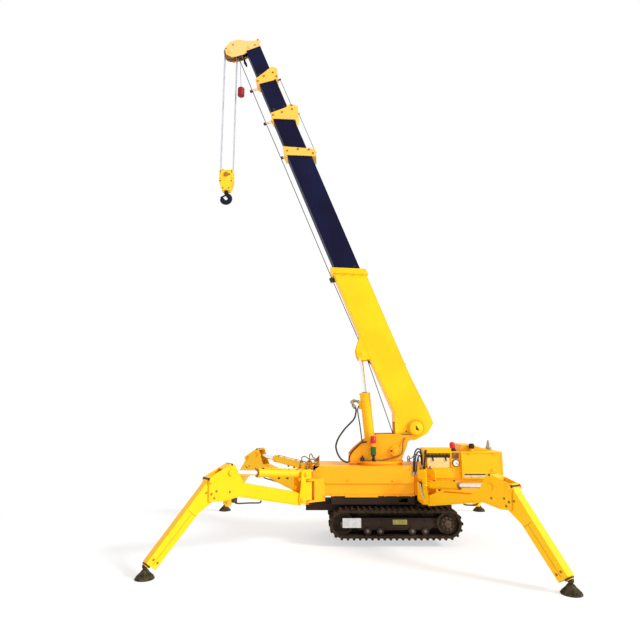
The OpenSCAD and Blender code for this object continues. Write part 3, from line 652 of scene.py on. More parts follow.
# Winch: rope wound on the drum. Radius rises and falls with the rope's round back, turn by turn,
# across the drum
winch = {"at": (-0.658, 1.080), "radius": 0.0715, "half": 0.112, "rope": 0.0045}
turnsWound = int(winch["half"] / winch["rope"])
lay = np.linspace(0, turnsWound, turnsWound * 6 + 1)
wound = np.stack([winch["radius"] + winch["rope"] * 1.2 * np.abs(np.sin(np.pi * lay)),
                  -winch["half"] + lay * winch["half"] * 2 / turnsWound], -1)
drumAt = (winch["at"][0], 0, winch["at"][1])
build("woundRope", turned(wound, 48), wireRope, "upper", (drumAt, faceLeft), crisp=60)
build("winchMotor", [turned([(0.068, 0.168), (0.068, 0.176), (0.062, 0.182), (0.062, 0.190),
                             (0.058, 0.193)], 36),
                     turned([(0.03, 0.19), (0.03, 0.204), (0.024, 0.208)], 24)] +
      boltRing(0.014, 6, 0.05, 0.192), turretYellow, "upper",
      ((drumAt[0] + 0.01, 0, drumAt[2]), faceLeft), bevel=0.001)
build("motorPlug", turned([(0.012, 0.207), (0.012, 0.216), (0.008, 0.219)], 12), redPaint, "upper",
      ((-0.604, 0, 1.081), faceLeft))


# Hoist rope: from the drum up the boom's underside, past a guide roller on each collar, to the
# head's sheave
hoistRope = {"radius": 0.0055, "wrap": 0.0765, "drumSide": -0.108, "lowGuide": (1.020, -0.108, -0.2060),
             "baseGuide": (2.258, -0.100, -0.2240),
             "guides": [("boom_2", (4.225, -0.082, -0.2330), 1),
                        ("boom_3", (4.812, -0.066, -0.2400), -1),
                        ("boom_4", (5.372, -0.050, -0.2420), -1)], "headEnd": (6.028, -0.032, -0.2425)}
p0 = onBoom(*hoistRope["lowGuide"])
toDrum = np.array([drumAt[0], hoistRope["drumSide"], drumAt[2]]) - p0
span = math.hypot(toDrum[0], toDrum[2])
# the rope leaves the wound drum along a tangent on its rear side
lean0 = math.atan2(toDrum[2], toDrum[0]) - math.asin(hoistRope["wrap"] / span)
tangent = math.sqrt(span ** 2 - hoistRope["wrap"] ** 2)
offDrum = p0 + np.array([tangent * math.cos(lean0), toDrum[1], tangent * math.sin(lean0)])
ropePoints = [("upper", offDrum), ("boom_base", p0), ("boom_base", onBoom(*hoistRope["baseGuide"]))]
ropePoints += [(body, onBoom(*at)) for body, at, _ in hoistRope["guides"]]
ropePoints.append(("boom_5", onBoom(*hoistRope["headEnd"])))
for index, (here, there) in enumerate(zip(ropePoints, ropePoints[1:])):
    run = tube(np.linspace(here[1], there[1], 24), hoistRope["radius"], 8)
    if here[0] == there[0]:
        build("hoistRope%d" % index, run, wireRope, here[0])
    else:
        across("hoistRope%d" % index, run, wireRope)


# A guide in the boom's frame: two bent rods from a foot to a grooved roller with a pin through it.
# Side tells on which side of the rope the roller runs
def ropeGuide(at, foot, side, width=0.017):
    u, y, w = at
    centre = (u, y, w + side * 0.020)
    roller = turned([(0.020, -0.012), (0.020, -0.009), (0.0145, -0.004), (0.0145, 0.004),
                     (0.020, 0.009), (0.020, 0.012)], 20)
    pin = turned([(0.009, -width - 0.008), (0.009, -width - 0.003), (0.006, -width - 0.002),
                  (0.006, width + 0.002), (0.009, width + 0.003), (0.009, width + 0.008)], 12)
    halfway = ((foot[0] + centre[0]) / 2, foot[1] * 0.6 + centre[2] * 0.4)
    arms = [hose([(a, y + s, b) for a, b in (foot, halfway, (centre[0], centre[2]))], 0.0055, 8)
            for s in (-width, width)]
    base = block((foot[0] - 0.022, y - width - 0.008, foot[1] - 0.008),
                 (foot[0] + 0.022, y + width + 0.008, foot[1] + 0.014))
    return arms + [base], [placed(roller, centre, faceLeft), placed(pin, centre, faceLeft)]


guideFeet = {"low": ("boom_base", hoistRope["lowGuide"], (1.000, -0.186), 1),
             "base": ("boom_base", hoistRope["baseGuide"], (2.240, -0.205), 1)}
guideFeet |= {body: (body, at, foot, side) for (body, at, side), foot in
              zip(hoistRope["guides"], ((4.195, -0.180), (4.800, -0.152), (5.372, -0.150)))}
for name, (body, at, foot, side) in guideFeet.items():
    arms, rollers = ropeGuide(at, foot, side)
    build("guideArms_" + name, arms, pinSteel if body == "boom_base" else collarYellow, body,
          boomPlace, bevel=0.001)
    build("guideRoller_" + name, rollers, pinSteel, body, boomPlace, bevel=0.0008)
build("baseBlock", [block((2.225, -0.120, -0.262), (2.290, -0.060, -0.214)),
                    bar((2.258, -0.125, -0.245), (2.258, -0.055, -0.245), 0.012, 12)], pinSteel,
      "boom_base", boomPlace, bevel=0.002)


# Thin cables on the boom's back between the collars, each held in an eye at both ends
backCables = [("boom_3", "boom_4", (4.846, 0.195), (5.345, 0.195)),
              ("boom_2", "boom_3", (4.072, 0.247), (4.728, 0.247))]
eye = joined([turned([(0.013, -0.006), (0.013, 0.006)], 14),
              turned([(0.007, -0.018), (0.007, 0.018)], 10)])
for index, (low, high, start, end) in enumerate(backCables):
    p, q = onBoom(start[0], 0.02, start[1]), onBoom(end[0], 0.02, end[1])
    across("backCable%d" % index, tube(np.linspace(p, q, 20), 0.0042, 8), wireRope)
    for body, (u, w) in ((low, start), (high, end)):
        stalk = block((-0.008, -0.008, -0.06), (0.008, 0.008, -0.004))
        build("cableEye%d_%s" % (index, body),
              [placed(eye, (u, 0.02, w), faceLeft), placed(stalk, (u, 0.02, w))],
              pinSteel, body, boomPlace, bevel=0.001)


# Collar fasteners: u and w of each bolt head, on both sides at the collar's half width
collarBolts = {"boom_2": (0.130, [(4.156, 0.015), (4.091, 0.157), (4.190, -0.135), (4.020, 0.190)]),
               "boom_3": (0.116, [(4.785, 0.015), (4.775, 0.165), (4.835, 0.180), (4.790, -0.120)]),
               "boom_4": (0.102, [(5.431, -0.019), (5.435, 0.123), (5.388, -0.130), (5.360, 0.150)]),
               "boom_5": (0.066, [(6.028, -0.331), (5.979, -0.036), (6.052, 0.112), (6.110, -0.255),
                                  (5.985, 0.045), (6.090, -0.375)])}
for body, (half, places) in collarBolts.items():
    size = 0.024 if body != "boom_5" else 0.020
    heads = boltsAt(size, [(u, half, w) for u, w in places])
    build("sideBolts_" + body, bothSides(heads), boltBrown, body, boomPlace, bevel=0.0008)

# Slide pads that bear on each section where it leaves its collar: two strips a side
slidePads = {"boom_base": (2.200, 0.118, 0.157), "boom_3": (4.800, 0.090, 0.123),
             "boom_4": (5.412, 0.076, 0.108)}
for body, (u, half, depth) in slidePads.items():
    strip = joined([plate(u + (0.058 if w > 0 else 0.046), u + (0.082 if w > 0 else 0.098), w - 0.022,
                          w + 0.022, half + 0.001, half + 0.011)
                    for w in (-depth * 0.62, depth * 0.62)])
    build("slidePads_" + body, bothSides(strip), blackPlastic, body, boomPlace,
          bevel=0.001)


# Boom base: bolts on its end band, a lifting eye on its back, weld lines, lug plates and pin ends
bandBolts = [(2.196 - 0.45 * w, 0.152, w) for w in (-0.17, -0.06, 0.06, 0.17)]
build("bandBolts", bothSides(boltsAt(0.024, bandBolts)), boomYellow, "boom_base",
      boomPlace, bevel=0.0008)
arc = np.linspace(0, np.pi, 13)
bulge = np.stack([0.799 - 0.018 * np.cos(arc), 0.222 + 0.018 * np.sin(arc)], -1)
eyePlate = np.concatenate([[(0.735, 0.198)], bulge, [(0.863, 0.198)]])
build("backEye", [upright(eyePlate, -0.012, 0.012),
                  placed(turned([(0.010, -0.016), (0.010, 0.016)], 16), (0.799, 0, 0.222), faceLeft)],
      boomYellow, "boom_base", boomPlace, bevel=0.002)
weldLine = [hose([(0.17, 0.1402, -0.150), (0.30, 0.1402, -0.165), (1.04, 0.1402, -0.187),
                  (1.47, 0.1402, -0.190), (2.10, 0.1402, -0.190)], 0.0016, 6, 8),
            hose([(0.20, 0.1402, 0.214), (0.47, 0.1402, 0.203), (0.69, 0.1402, 0.194),
                  (2.10, 0.1402, 0.194)], 0.0016, 6, 8)]
build("baseWelds", bothSides(weldLine), boomYellow, "boom_base", boomPlace)
lugOutline = [(1.371, -0.184), (1.371, -0.196), (1.219, -0.318), (1.160, -0.330), (1.100, -0.332),
              (1.066, -0.314), (1.050, -0.280), (1.033, -0.196), (1.033, -0.184)]
build("lugPlates", bothSides(upright(lugOutline, 0.1275, 0.1398)), boomYellow, "boom_base",
      boomPlace, bevel=0.002)
clevisPin = [turned([(0.040, 0.092), (0.040, 0.142), (0.034, 0.146)], 28),
             placed(hexBolt(0.024), (0, 0, 0.145))]
build("clevisPins", bothSides(placed(joined(clevisPin), (1.141, 0, -0.2775), faceLeft)), boomYellow,
      "boom_base", boomPlace, bevel=0.001)


# Head: pins with keepers, the channel that stands back under it, the guard bars and the limit switch
pinEnd = joined([turned([(0.030, 0.066), (0.030, 0.074), (0.024, 0.077)], 24),
                 plate(-0.012, 0.012, -0.05, 0.0, 0.066, 0.071)])
build("headPins", bothSides([placed(pinEnd, (u, 0, w), faceLeft) for u, w in
                             ((0.094, -0.331), (0.045, -0.036))]),
      headYellow, "boom_5", headPlace, bevel=0.001)
guardBars = [bar((u, -0.056, w), (u, 0.056, w), 0.010, 14)
             for u, w in ((0.120, -0.224), (0.195, -0.300))]
build("guardBars", guardBars, wornSteel, "boom_5", headPlace)
channel = [(-0.190, -0.192), (-0.120, -0.206), (0.010, -0.170), (0.010, -0.110), (-0.018, -0.110),
           (-0.018, -0.172), (-0.180, -0.172)]
build("headChannel", [upright(channel, -0.016, -0.008), upright(channel, 0.014, 0.022),
                      upright([(-0.190, -0.192), (-0.120, -0.206), (-0.116, -0.200), (-0.186, -0.186)],
                              -0.010, 0.016)] +
      boltsAt(0.022, [(-0.150, 0.022, -0.190), (-0.020, 0.022, -0.140)]), boomNavy, "boom_5",
      headPlace, bevel=0.001)
limit = {"at": (-0.062, 0.052, -0.236), "line": 0.0026, "weight": (1.447, 0.052, 6.222),
         "size": (0.052, 0.118)}
switchBox = [block((-0.026, -0.016, -0.026), (0.026, 0.016, 0.020)),
             block((-0.045, -0.004, 0.012), (0.045, 0.004, 0.030))]
build("limitSwitch", placed(joined(switchBox), limit["at"]), blackPlastic, "boom_5",
      headPlace, bevel=0.002)
switchAt = np.array(limit["at"]) @ headPlace[1] + headPlace[0]
build("limitLine", tube(np.linspace(switchAt - (0, 0, 0.03), limit["weight"], 16), limit["line"], 6),
      hoseRubber, "falls")
# The weight is a turned body whose radius swells a little between the grooves round it
height = np.linspace(0, 1, 25)
bell = np.stack([limit["size"][0] * (0.90 + 0.06 * np.abs(np.sin(height * np.pi * 3))),
                 -height * limit["size"][1]], -1)[::-1]
bell = np.concatenate([[(limit["size"][0] * 0.7, bell[0, 1] - 0.006)], bell,
                       [(limit["size"][0] * 0.4, 0.014)]])
build("limitWeight", turned(bell, 28), redPaint, "falls", (limit["weight"], np.eye(3)),
      crisp=50)


# The four falls run from the head's sheaves to the block's
falls = {"radius": 0.005, "sheave": 0.090, "aside": 0.032, "steps": 60}
for number, (x, y) in enumerate([(x, y) for x in (-falls["sheave"], falls["sheave"])
                                 for y in (-falls["aside"], falls["aside"])]):
    top, foot = np.array([hangX + x, y, hangZ]), blockPlace[0] + (x, y, 0)
    fall = across("fall%d" % number, tube(np.linspace(top, foot, falls["steps"]), falls["radius"], 10),
                  fallRope)
    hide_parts("rope_falls")


# Hook block: side bolts, the sheave pin's keeper, guard pins over the sheaves, and the socket on
# its top
blockBolts = [(-0.078, 0.050), (-0.078, -0.098), (0.078, 0.050), (0.078, -0.098), (-0.042, -0.205),
              (0.042, -0.205)]
blockParts = boltsAt(0.018, [(x, 0.061, z) for x, z in blockBolts])
blockParts += [placed(turned([(0.034, 0.061), (0.034, 0.072), (0.028, 0.075)], 24), axes=faceLeft),
               plate(-0.060, -0.022, -0.012, 0.012, 0.061, 0.067)]
build("blockBolts", bothSides(blockParts), boltBrown, "block", blockPlace, bevel=0.0008)
build("blockPins", [bar((x, -0.061, z), (x, 0.061, z), 0.009, 12) for x, z in
                    ((-0.080, 0.020), (0.080, 0.020), (-0.085, -0.060), (0.085, -0.060))],
      wornSteel, "block", blockPlace)
build("topSocket", [placed(turned([(0.011, 0.0), (0.014, 0.030), (0.014, 0.058), (0.009, 0.066)], 14),
                           (0.062, -0.020, 0.050)),
                    bar((0.062, -0.046, 0.070), (0.062, 0.006, 0.070), 0.006, 10)],
      pinSteel, "block", blockPlace, bevel=0.001)

# Hook: an oval section carried round three quarters of a ring, deepest at the bowl and thin at the tip
hookShape = {"drop": -0.234, "bowl": -0.112, "outer": 0.089, "tip": 372}
turnAt = np.radians(np.linspace(104, hookShape["tip"], 52))
share = np.linspace(0, 1, 52)
thinning = np.clip((share - 0.88) / 0.12, 0, 1)
inPlane = 0.0335 + 0.0030 * np.exp(-((share - 0.62) / 0.26) ** 2) - 0.013 * thinning ** 2
inPlane = np.where(share > 0.985, inPlane * 0.75, inPlane)
acrossPlane = 0.0185 - 0.002 * share - 0.006 * np.clip((share - 0.8) / 0.2, 0, 1)
middle = hookShape["outer"] - inPlane
bowl = np.stack([middle * np.cos(turnAt), 0 * turnAt, hookShape["bowl"] + middle * np.sin(turnAt)], -1)
shank = turned([(0.015, -0.070), (0.021, -0.050), (0.021, -0.040), (0.030, -0.036), (0.030, -0.004),
                (0.026, -0.001)], 24)
neckLine = [(-0.014, 0, hookShape["bowl"] + 0.058), (-0.006, 0, hookShape["bowl"] + 0.068),
            (0, 0, -0.040), (0, 0, -0.030)]
neck = tube(neckLine, np.array([(0.030, 0.018), (0.026, 0.018), (0.020, 0.018), (0.018, 0.018)]), 20)
latch = upright([(0.010, -0.052), (0.024, -0.054), (0.082, -0.086), (0.074, -0.100), (0.016, -0.072)],
                -0.009, 0.009)
latchPin = bar((0.018, -0.020, -0.060), (0.018, 0.020, -0.060), 0.005, 10)
hookPlace = (blockPlace[0] + np.array([0, 0, hookShape["drop"]]), np.eye(3))
hookMesh = build("swivelHook", [tube(bowl, np.stack([inPlane, acrossPlane], -1), 20), shank, neck],
                 hookBlack, "hook", hookPlace, crisp=50)
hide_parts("hook")
build("hookLatch", [latch, latchPin], hookBlack, "hook", hookPlace, bevel=0.001)
print("boom, ropes and hook dressed")


# Luffing cylinder: gland rings, rod wiper, the pipe along its front, its elbow and the long hose loop
luffTrim = {"pipe": 0.0075, "hose": 0.011}
luffAlong = within((np.zeros(3), faceAhead), luffPlace)  # a part's z runs up the cylinder
glandRings = [[(0.064, 0.726), (0.073, 0.728), (0.073, 0.744), (0.060, 0.748), (0.030, 0.750)],
              [(0.071, 0.640), (0.071, 0.652)], [(0.0705, 0.118), (0.0705, 0.130)]]
build("luffGland", [turned(ring, 40) for ring in glandRings], barrelYellow, "luff_barrel",
      luffAlong, bevel=0.0015)
build("rodWiper", turned([(0.036, 0.7495), (0.036, 0.756), (0.030, 0.758)], 28), pinSteel,
      "luff_barrel", luffAlong, bevel=0.001)
pipeLine = [(-0.216, 0.046, 1.640), (-0.200, 0.050, 1.600), (-0.203, 0.050, 1.540),
            (-0.227, 0.050, 1.382), (-0.252, 0.050, 1.192), (-0.285, 0.048, 1.160)]
build("luffPipe", hose(pipeLine, luffTrim["pipe"]), hoseRubber, "luff_barrel", bevel=0.001)
stub = [(-0.236, 0.0, 1.690), (-0.190, 0.004, 1.700), (-0.145, 0.010, 1.706), (-0.124, 0.014, 1.695),
        (-0.136, 0.020, 1.668), (-0.150, 0.024, 1.650)]
elbowNut = turned([(0.022, -0.012), (0.022, 0.012), (0.019, 0.016)], 6)
slant = np.array([[0.40, 0, 0.92], [0, 1, 0], [-0.92, 0, 0.40]]) @ faceAhead
elbow = [hose(stub, 0.0145, 12), placed(elbowNut, (-0.215, 0.002, 1.693), faceAhead),
         placed(elbowNut, (-0.160, 0.008, 1.705), faceAhead),
         placed(elbowNut, (-0.128, 0.016, 1.685), slant),
         placed(turned([(0.017, -0.03), (0.018, 0.03)], 12), (-0.152, 0.026, 1.640), slant),
         placed(elbowNut, (-0.160, 0.028, 1.622), slant)]
build("luffElbow", elbow, brassFitting, "luff_barrel")
loop = [(-0.146, 0.023, 1.656), (-0.168, 0.034, 1.620), (-0.178, 0.048, 1.575), (-0.147, 0.080, 1.472),
        (-0.029, 0.130, 1.352), (0.055, 0.165, 1.240), (0.090, 0.180, 1.150), (0.085, 0.188, 1.091),
        (0.066, 0.192, 1.038), (0.032, 0.194, 0.986), (-0.012, 0.194, 0.953), (-0.058, 0.192, 0.940)]
across("luffHose", hose(loop, luffTrim["hose"], 10, 8), hoseRubber)

# Turret: hoses at the cheek's edge and across the base, valve block, bolts, ribs and the foot's
# discs and marks
cheekHose = [(-0.300, 0.185, 1.190), (-0.232, 0.182, 1.177), (-0.168, 0.180, 1.124),
             (-0.095, 0.182, 1.045), (-0.074, 0.186, 0.984), (-0.070, 0.188, 0.938)]
baseHose = [(-0.232, 0.192, 0.962), (-0.280, 0.202, 0.962), (-0.369, 0.196, 0.964),
            (-0.459, 0.190, 0.966), (-0.531, 0.186, 0.976), (-0.640, 0.190, 1.000),
            (-0.722, 0.192, 1.034), (-0.750, 0.192, 1.085), (-0.752, 0.190, 1.153),
            (-0.770, 0.184, 1.215), (-0.786, 0.176, 1.240)]
build("cheekHose", hose(cheekHose, 0.009), hoseRubber, "upper")
build("baseHose", hose(baseHose, 0.0075, 10, 8), hoseBrown, "upper")
build("valveBlock", [block((-0.262, 0.172, 0.956), (-0.214, 0.214, 0.994)),
                     placed(hexBolt(0.018), (-0.226, 0.193, 0.994)),
                     placed(hexBolt(0.018), (-0.250, 0.193, 0.994)),
                     block((-0.250, 0.168, 1.000), (-0.236, 0.176, 1.020))], darkIron, "upper",
      bevel=0.002)
cheekTrim = boltsAt(0.022, [(-0.340, 0.176, 1.065), (-0.400, 0.176, 1.065)])
cheekTrim += [placed(turned([(0.036, 0.176), (0.036, 0.184), (0.030, 0.188)], 28), (-0.370, 0, 1.065),
                     faceLeft)]
cheekTrim += boltsAt(0.020, [(-0.700, 0.168, 0.985), (-0.120, 0.168, 0.985)])
build("cheekBolts", bothSides(cheekTrim), turretYellow, "upper", bevel=0.0008)
build("footDot", bothSides(placed(hexBolt(0.016), (-0.807, 0.168, 1.319), faceLeft)), pinSteel, "upper")
build("footDiscs", bothSides(placed(turned([(0.084, 0.1805), (0.084, 0.1885), (0.080, 0.1905)], 48),
                                    (-0.932, 0, 1.361), faceLeft)), boomYellow, "boom_base")
build("footMarks", bothSides(upright([(-0.925, 1.398), (-0.925, 1.340), (-0.974, 1.328)], 0.1900,
                                     0.1925)), pinSteel, "boom_base")
build("cheekMarks", bothSides(upright([(-0.872, 1.275), (-0.742, 1.275), (-0.742, 1.2835),
                                       (-0.872, 1.2835)], 0.168, 0.1695)), pinSteel, "upper")
stiffener = [upright([(-0.720, 0.956), (-0.640, 0.956), (-0.720, 1.020)], 0.168, 0.176),
             upright([(-0.150, 0.956), (-0.084, 0.956), (-0.084, 1.010)], 0.168, 0.176)]
build("cheekRibs", bothSides(stiffener), turretYellow, "upper", bevel=0.001)
build("slewBolts", boltRing(0.020, 24, 0.270, 0.955, clear=0.180), turretYellow, "upper",
      ((slewX, 0, 0), np.eye(3)), bevel=0.0008)

# Lamp stack: a pole with three coloured lenses, each a little rounded, and thin dark collars
# between them
stackLamps = {"at": (-0.378, 0.218), "pole": 0.016, "lenses": [
    ("green", greenLens, 1.036, 1.129, 0.0355), ("amber", amberLens, 1.132, 1.178, 0.032),
    ("red", redLens, 1.181, 1.264, 0.0355)]}
stackPlace = ((*stackLamps["at"], 0), np.eye(3))
pole = build("lampPole", [turned([(0.028, 0.9565), (0.028, 0.966), (0.018, 0.970),
                                  (stackLamps["pole"], 1.020), (0.030, 1.028), (0.030, 1.036)], 24),
                          turned([(0.030, 1.1285), (0.030, 1.1325)], 24),
                          turned([(0.033, 1.1775), (0.033, 1.1815)], 24),
                          block((-0.012, -0.049, 0.960), (0.012, 0, 0.984))], blackPlastic, "upper",
             stackPlace, bevel=0.001)
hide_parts("lamp_stack")
for name, glass, z0, z1, r in stackLamps["lenses"]:
    crown = [(r, z1 - 0.006), (r * 0.93, z1 - 0.001), (r * 0.5, z1 + 0.001)]
    profile = [(r * 0.96, z0), (r, z0 + 0.004)] + (crown if name == "red" else [(r, z1)])
    lamp = build("lamp_" + name, turned(profile, 32), glass, "upper", stackPlace)
    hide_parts("lamp_stack")
print("turret dressed")


# Controls: a cream panel under a dark rail, short levers, a slanting hand lever, a gauge and a bracket
controls = {"levers": 6, "gauge": (-1.390, 0.941), "dial": 0.036}
panel = build("controlPanel", [plate(-1.322, -1.040, 0.882, 1.003, 0.216, 0.262, 0.010)], panelCream,
              "chassis", bevel=0.002)
railing = [plate(-1.320, -1.008, 1.012, 1.030, 0.214, 0.264, 0.006)]
step = (1.290 - 1.060) / (controls["levers"] - 1)
railing += [bar((-1.060 - i * step, 0.240, 1.030), (-1.060 - i * step, 0.252, 1.046), 0.004, 8) for i in
            range(controls["levers"])]
railing += [placed(turned([(0.005, -0.006), (0.007, 0), (0.005, 0.006)], 10),
                   (-1.060 - i * step, 0.252, 1.046)) for i in range(controls["levers"])]
railing += [hose([(x, 0.263, 1.014), (x + 0.004, 0.268, 0.990), (x - 0.004, 0.266, 0.966)], 0.009, 8)
            for x in (-1.112, -1.272)]
rail = build("leverRail", railing, blackPlastic, "chassis", bevel=0.001)
hand = build("handLever", [bar((-0.992, 0.284, 0.884), (-1.016, 0.284, 1.066), 0.010, 12),
                           bar((-1.014, 0.284, 1.052), (-1.022, 0.284, 1.098), 0.014, 12),
                           block((-1.008, 0.268, 0.870), (-0.978, 0.292, 0.900))], blackPlastic,
             "chassis", bevel=0.001)
for piece in (panel, rail, hand):
    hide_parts("lever_bank")
dialPlace = ((controls["gauge"][0], 0, controls["gauge"][1]), faceLeft)
build("gaugeRim", [turned([(0.044, 0.270), (0.044, 0.284), (0.041, 0.288), (0.037, 0.287)], 32),
                   placed(prism([(-0.0025, -0.006), (0.0025, -0.006), (0.001, 0.026), (-0.001, 0.026)],
                                0.289, 0.2905), axes=[[0.6, 0.8, 0], [-0.8, 0.6, 0], [0, 0, 1]])],
      blackPlastic, "chassis", dialPlace)
build("gaugeDial", turned([(controls["dial"], 0.286), (controls["dial"], 0.289)], 32), dialWhite,
      "chassis", dialPlace)
build("sideBracket", [plate(-1.430, -1.345, 0.995, 1.066, 0.2702, 0.2745, 0.006)] +
      boltsAt(0.016, [(-1.418, 0.2745, 1.052), (-1.358, 0.2745, 1.008)]), brownRust, "chassis",
      bevel=0.001)
arches = [
    [(-0.875, 0.285, 0.800), (-0.880, 0.286, 0.920), (-0.900, 0.272, 1.030), (-0.935, 0.252, 1.075),
     (-0.968, 0.238, 1.045), (-0.978, 0.232, 0.990), (-0.978, 0.228, 0.925)],
    [(-0.895, 0.300, 0.800), (-0.898, 0.300, 0.900), (-0.915, 0.288, 0.990), (-0.940, 0.268, 1.030),
     (-0.964, 0.254, 1.005), (-0.974, 0.250, 0.950), (-0.976, 0.250, 0.915)],
    [(-0.855, 0.304, 0.800), (-0.860, 0.304, 0.930), (-0.882, 0.286, 1.060), (-0.925, 0.262, 1.112),
     (-0.962, 0.244, 1.090), (-0.974, 0.214, 1.020), (-0.976, 0.206, 0.925)]]
build("hoseArch", [hose(a, r, 10, 8) for a, r in zip(arches, (0.009, 0.008, 0.009))], hoseRubber,
      "chassis")
ends = [placed(hoseEnd(0.009), a[0]) for a in arches]
build("archEnds", ends, wornSteel, "chassis", bevel=0.0006)

# Rear cover: a dark plate as painted shade where a slot opens, a pale strip and seams on both sides,
# latches, hinges, a rear grille, filler and beacon
coverTrim = {"half": 0.310, "slot": (-1.740, -1.480), "slats": 9, "grille": (0.205, 0.815, 1.030)}
# the slot is a thin dark plate on the cover's side, painted shade for the slot's shadowed inside
slotShade = [plate(*coverTrim["slot"], 0.802, 0.816, 0.309, 0.3115, 0.006)]
seams = [plate(-1.935, -1.931, 0.800, 1.058, 0.309, 0.3106, 0.0015),
         plate(-1.935, -1.470, 1.056, 1.060, 0.309, 0.3106, 0.0015)]
build("coverSlotShade", bothSides(slotShade), pinSteel, "chassis")
build("coverSeams", bothSides(seams), seamBrown, "chassis")
build("coverStrip", bothSides(plate(-1.750, -1.470, 0.783, 0.797, 0.309, 0.3125, 0.003)), plateWhite,
      "chassis")
latchParts = [plate(-1.852, -1.808, 0.845, 0.877, 0.309, 0.316, 0.008),
              placed(turned([(0.009, 0.316), (0.009, 0.324), (0.006, 0.326)], 12), (-1.830, 0, 0.861),
                     faceLeft)]
for x in (-1.56, -1.86):
    latchParts += [bar((x - 0.025, 0.3155, 1.064), (x + 0.025, 0.3155, 1.064), 0.006, 10),
                   plate(x - 0.022, x + 0.022, 1.034, 1.062, 0.309, 0.314, 0.004)]
build("coverLatches", bothSides(latchParts), coverYellow, "chassis", bevel=0.001)
coverHeads = boltsAt(0.014, [(x, coverTrim["half"], 0.772) for x in np.linspace(-1.93, -1.48, 6)])
build("coverBolts", bothSides(coverHeads), coverYellow, "chassis")
half, z0, z1 = coverTrim["grille"]
slatHeights = np.linspace(z0 + 0.02, z1 - 0.02, coverTrim["slats"])
slat = upright([(0.000, -0.007), (0.010, -0.012), (0.010, -0.008), (0.002, 0.007)], -half + 0.012,
               half - 0.012)
rearGrille = [placed(slat, (-1.9690, 0, z)) for z in slatHeights]
rearGrille += [block((-1.966, -half, z0), (-1.957, -half + 0.014, z1)),
               block((-1.966, half - 0.014, z0), (-1.957, half, z1)),
               block((-1.966, -half, z0 - 0.006), (-1.957, half, z0 + 0.008)),
               block((-1.966, -half, z1 - 0.008), (-1.957, half, z1 + 0.006)),
               block((-1.9600, -half + 0.01, z0), (-1.9575, half - 0.01, z1))]
build("rearGrille", rearGrille, blackPlastic, "chassis", bevel=0.0008)
build("pipeClamp", [turned([(0.037, 0.012), (0.037, 0.026)], 24),
                    placed(hexBolt(0.012), (0.037, 0, 0.019), faceLeft)], wornSteel, "chassis",
      ((-1.915, -0.060, 1.077), np.eye(3)), bevel=0.001)
capPlace = ((-1.612, 0.212, 1.077), np.eye(3))
neckPiece = build("fillerNeck", turned([(0.030, -0.001), (0.030, 0.006), (0.024, 0.010),
                                        (0.024, 0.036)], 24), coverYellow, "chassis",
                  capPlace, bevel=0.001)
grip = np.arange(36) * 2 * np.pi / 36
gripRadius = 0.0335 + 0.002 * np.sign(np.sin(grip * 9))
capBody = prism(np.stack([gripRadius * np.cos(grip), gripRadius * np.sin(grip)], -1), 0.034, 0.082)
capTop = turned([(0.030, 0.080), (0.030, 0.088), (0.024, 0.094), (0.006, 0.0955)], 28)
capPiece = build("fillerCap", [capBody, capTop], blackPlastic, "chassis", capPlace,
                 bevel=0.001)
for piece in (neckPiece, capPiece):
    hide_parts("fuel_cap")
beaconPlace = ((-1.400, 0.100, 1.072), np.eye(3))
beaconBase = build("beaconBase", turned([(0.042, 0), (0.042, 0.012), (0.038, 0.018), (0.038, 0.036)],
                                        32), blackPlastic, "chassis", beaconPlace,
                   bevel=0.001)
dome = [(0.0345 * math.cos(a), 0.086 + 0.0275 * math.sin(a)) for a in
        np.linspace(0, np.pi / 2 - 0.1, 8)]
beaconDome = build("beaconDome", turned([(0.0355, 0.036), (0.0350, 0.080)] + dome, 32), redLens,
                   "chassis", beaconPlace)
for piece in (beaconBase, beaconDome):
    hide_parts("beacon")
print("rear body and controls dressed")


# Tracks: roller and wheel caps, sprocket ring with its bolts, side frame, inner guard and two
# blank plates
trackTrim = {"y": 0.335, "rollers": (-0.272, -0.425, -0.802, -0.955), "rollerZ": 0.173, "wheelZ": 0.256,
             "sprocket": -1.225, "idler": 0.014, "guard": 0.124}
rollerCap = turned([(0.020, 0.0815), (0.020, 0.086), (0.013, 0.089), (0.013, 0.093), (0.010, 0.095)],
                   20)
sprocketCap = joined([turned([(0.118, 0.030), (0.118, 0.037), (0.100, 0.044), (0.089, 0.046)], 40),
                      turned([(0.122, 0.0475), (0.122, 0.052), (0.104, 0.054), (0.104, 0.049)], 44),
                      turned([(0.046, 0.083), (0.046, 0.092), (0.038, 0.097), (0.006, 0.098)], 28)] +
                     boltRing(0.022, 9, 0.068, 0.084))
idlerCap = joined([turned([(0.036, 0.079), (0.036, 0.0815), (0.030, 0.0825)], 28)] +
                  boltRing(0.014, 6, 0.060, 0.024))
wheelY, wheelZ = trackTrim["y"], trackTrim["wheelZ"]
rollers = [placed(rollerCap, (x, wheelY, trackTrim["rollerZ"]), faceLeft) for x in trackTrim["rollers"]]
wheels = [placed(sprocketCap, (trackTrim["sprocket"], wheelY, wheelZ), faceLeft),
          placed(idlerCap, (trackTrim["idler"], wheelY, wheelZ), faceLeft)]
hangers = [block((x - 0.012, 0.396, 0.240), (x + 0.012, 0.419, 0.300)) for x in (-0.170, -0.060)]
framing = [plate(-0.985, -0.10, 0.300, 0.318, 0.384, 0.391, 0.002),
           plate(-0.985, -0.21, 0.184, 0.196, 0.384, 0.391, 0.002)]
framing += boltsAt(0.018, [(x, 0.385, 0.285) for x in (-0.30, -0.45, -0.84, -0.96)])
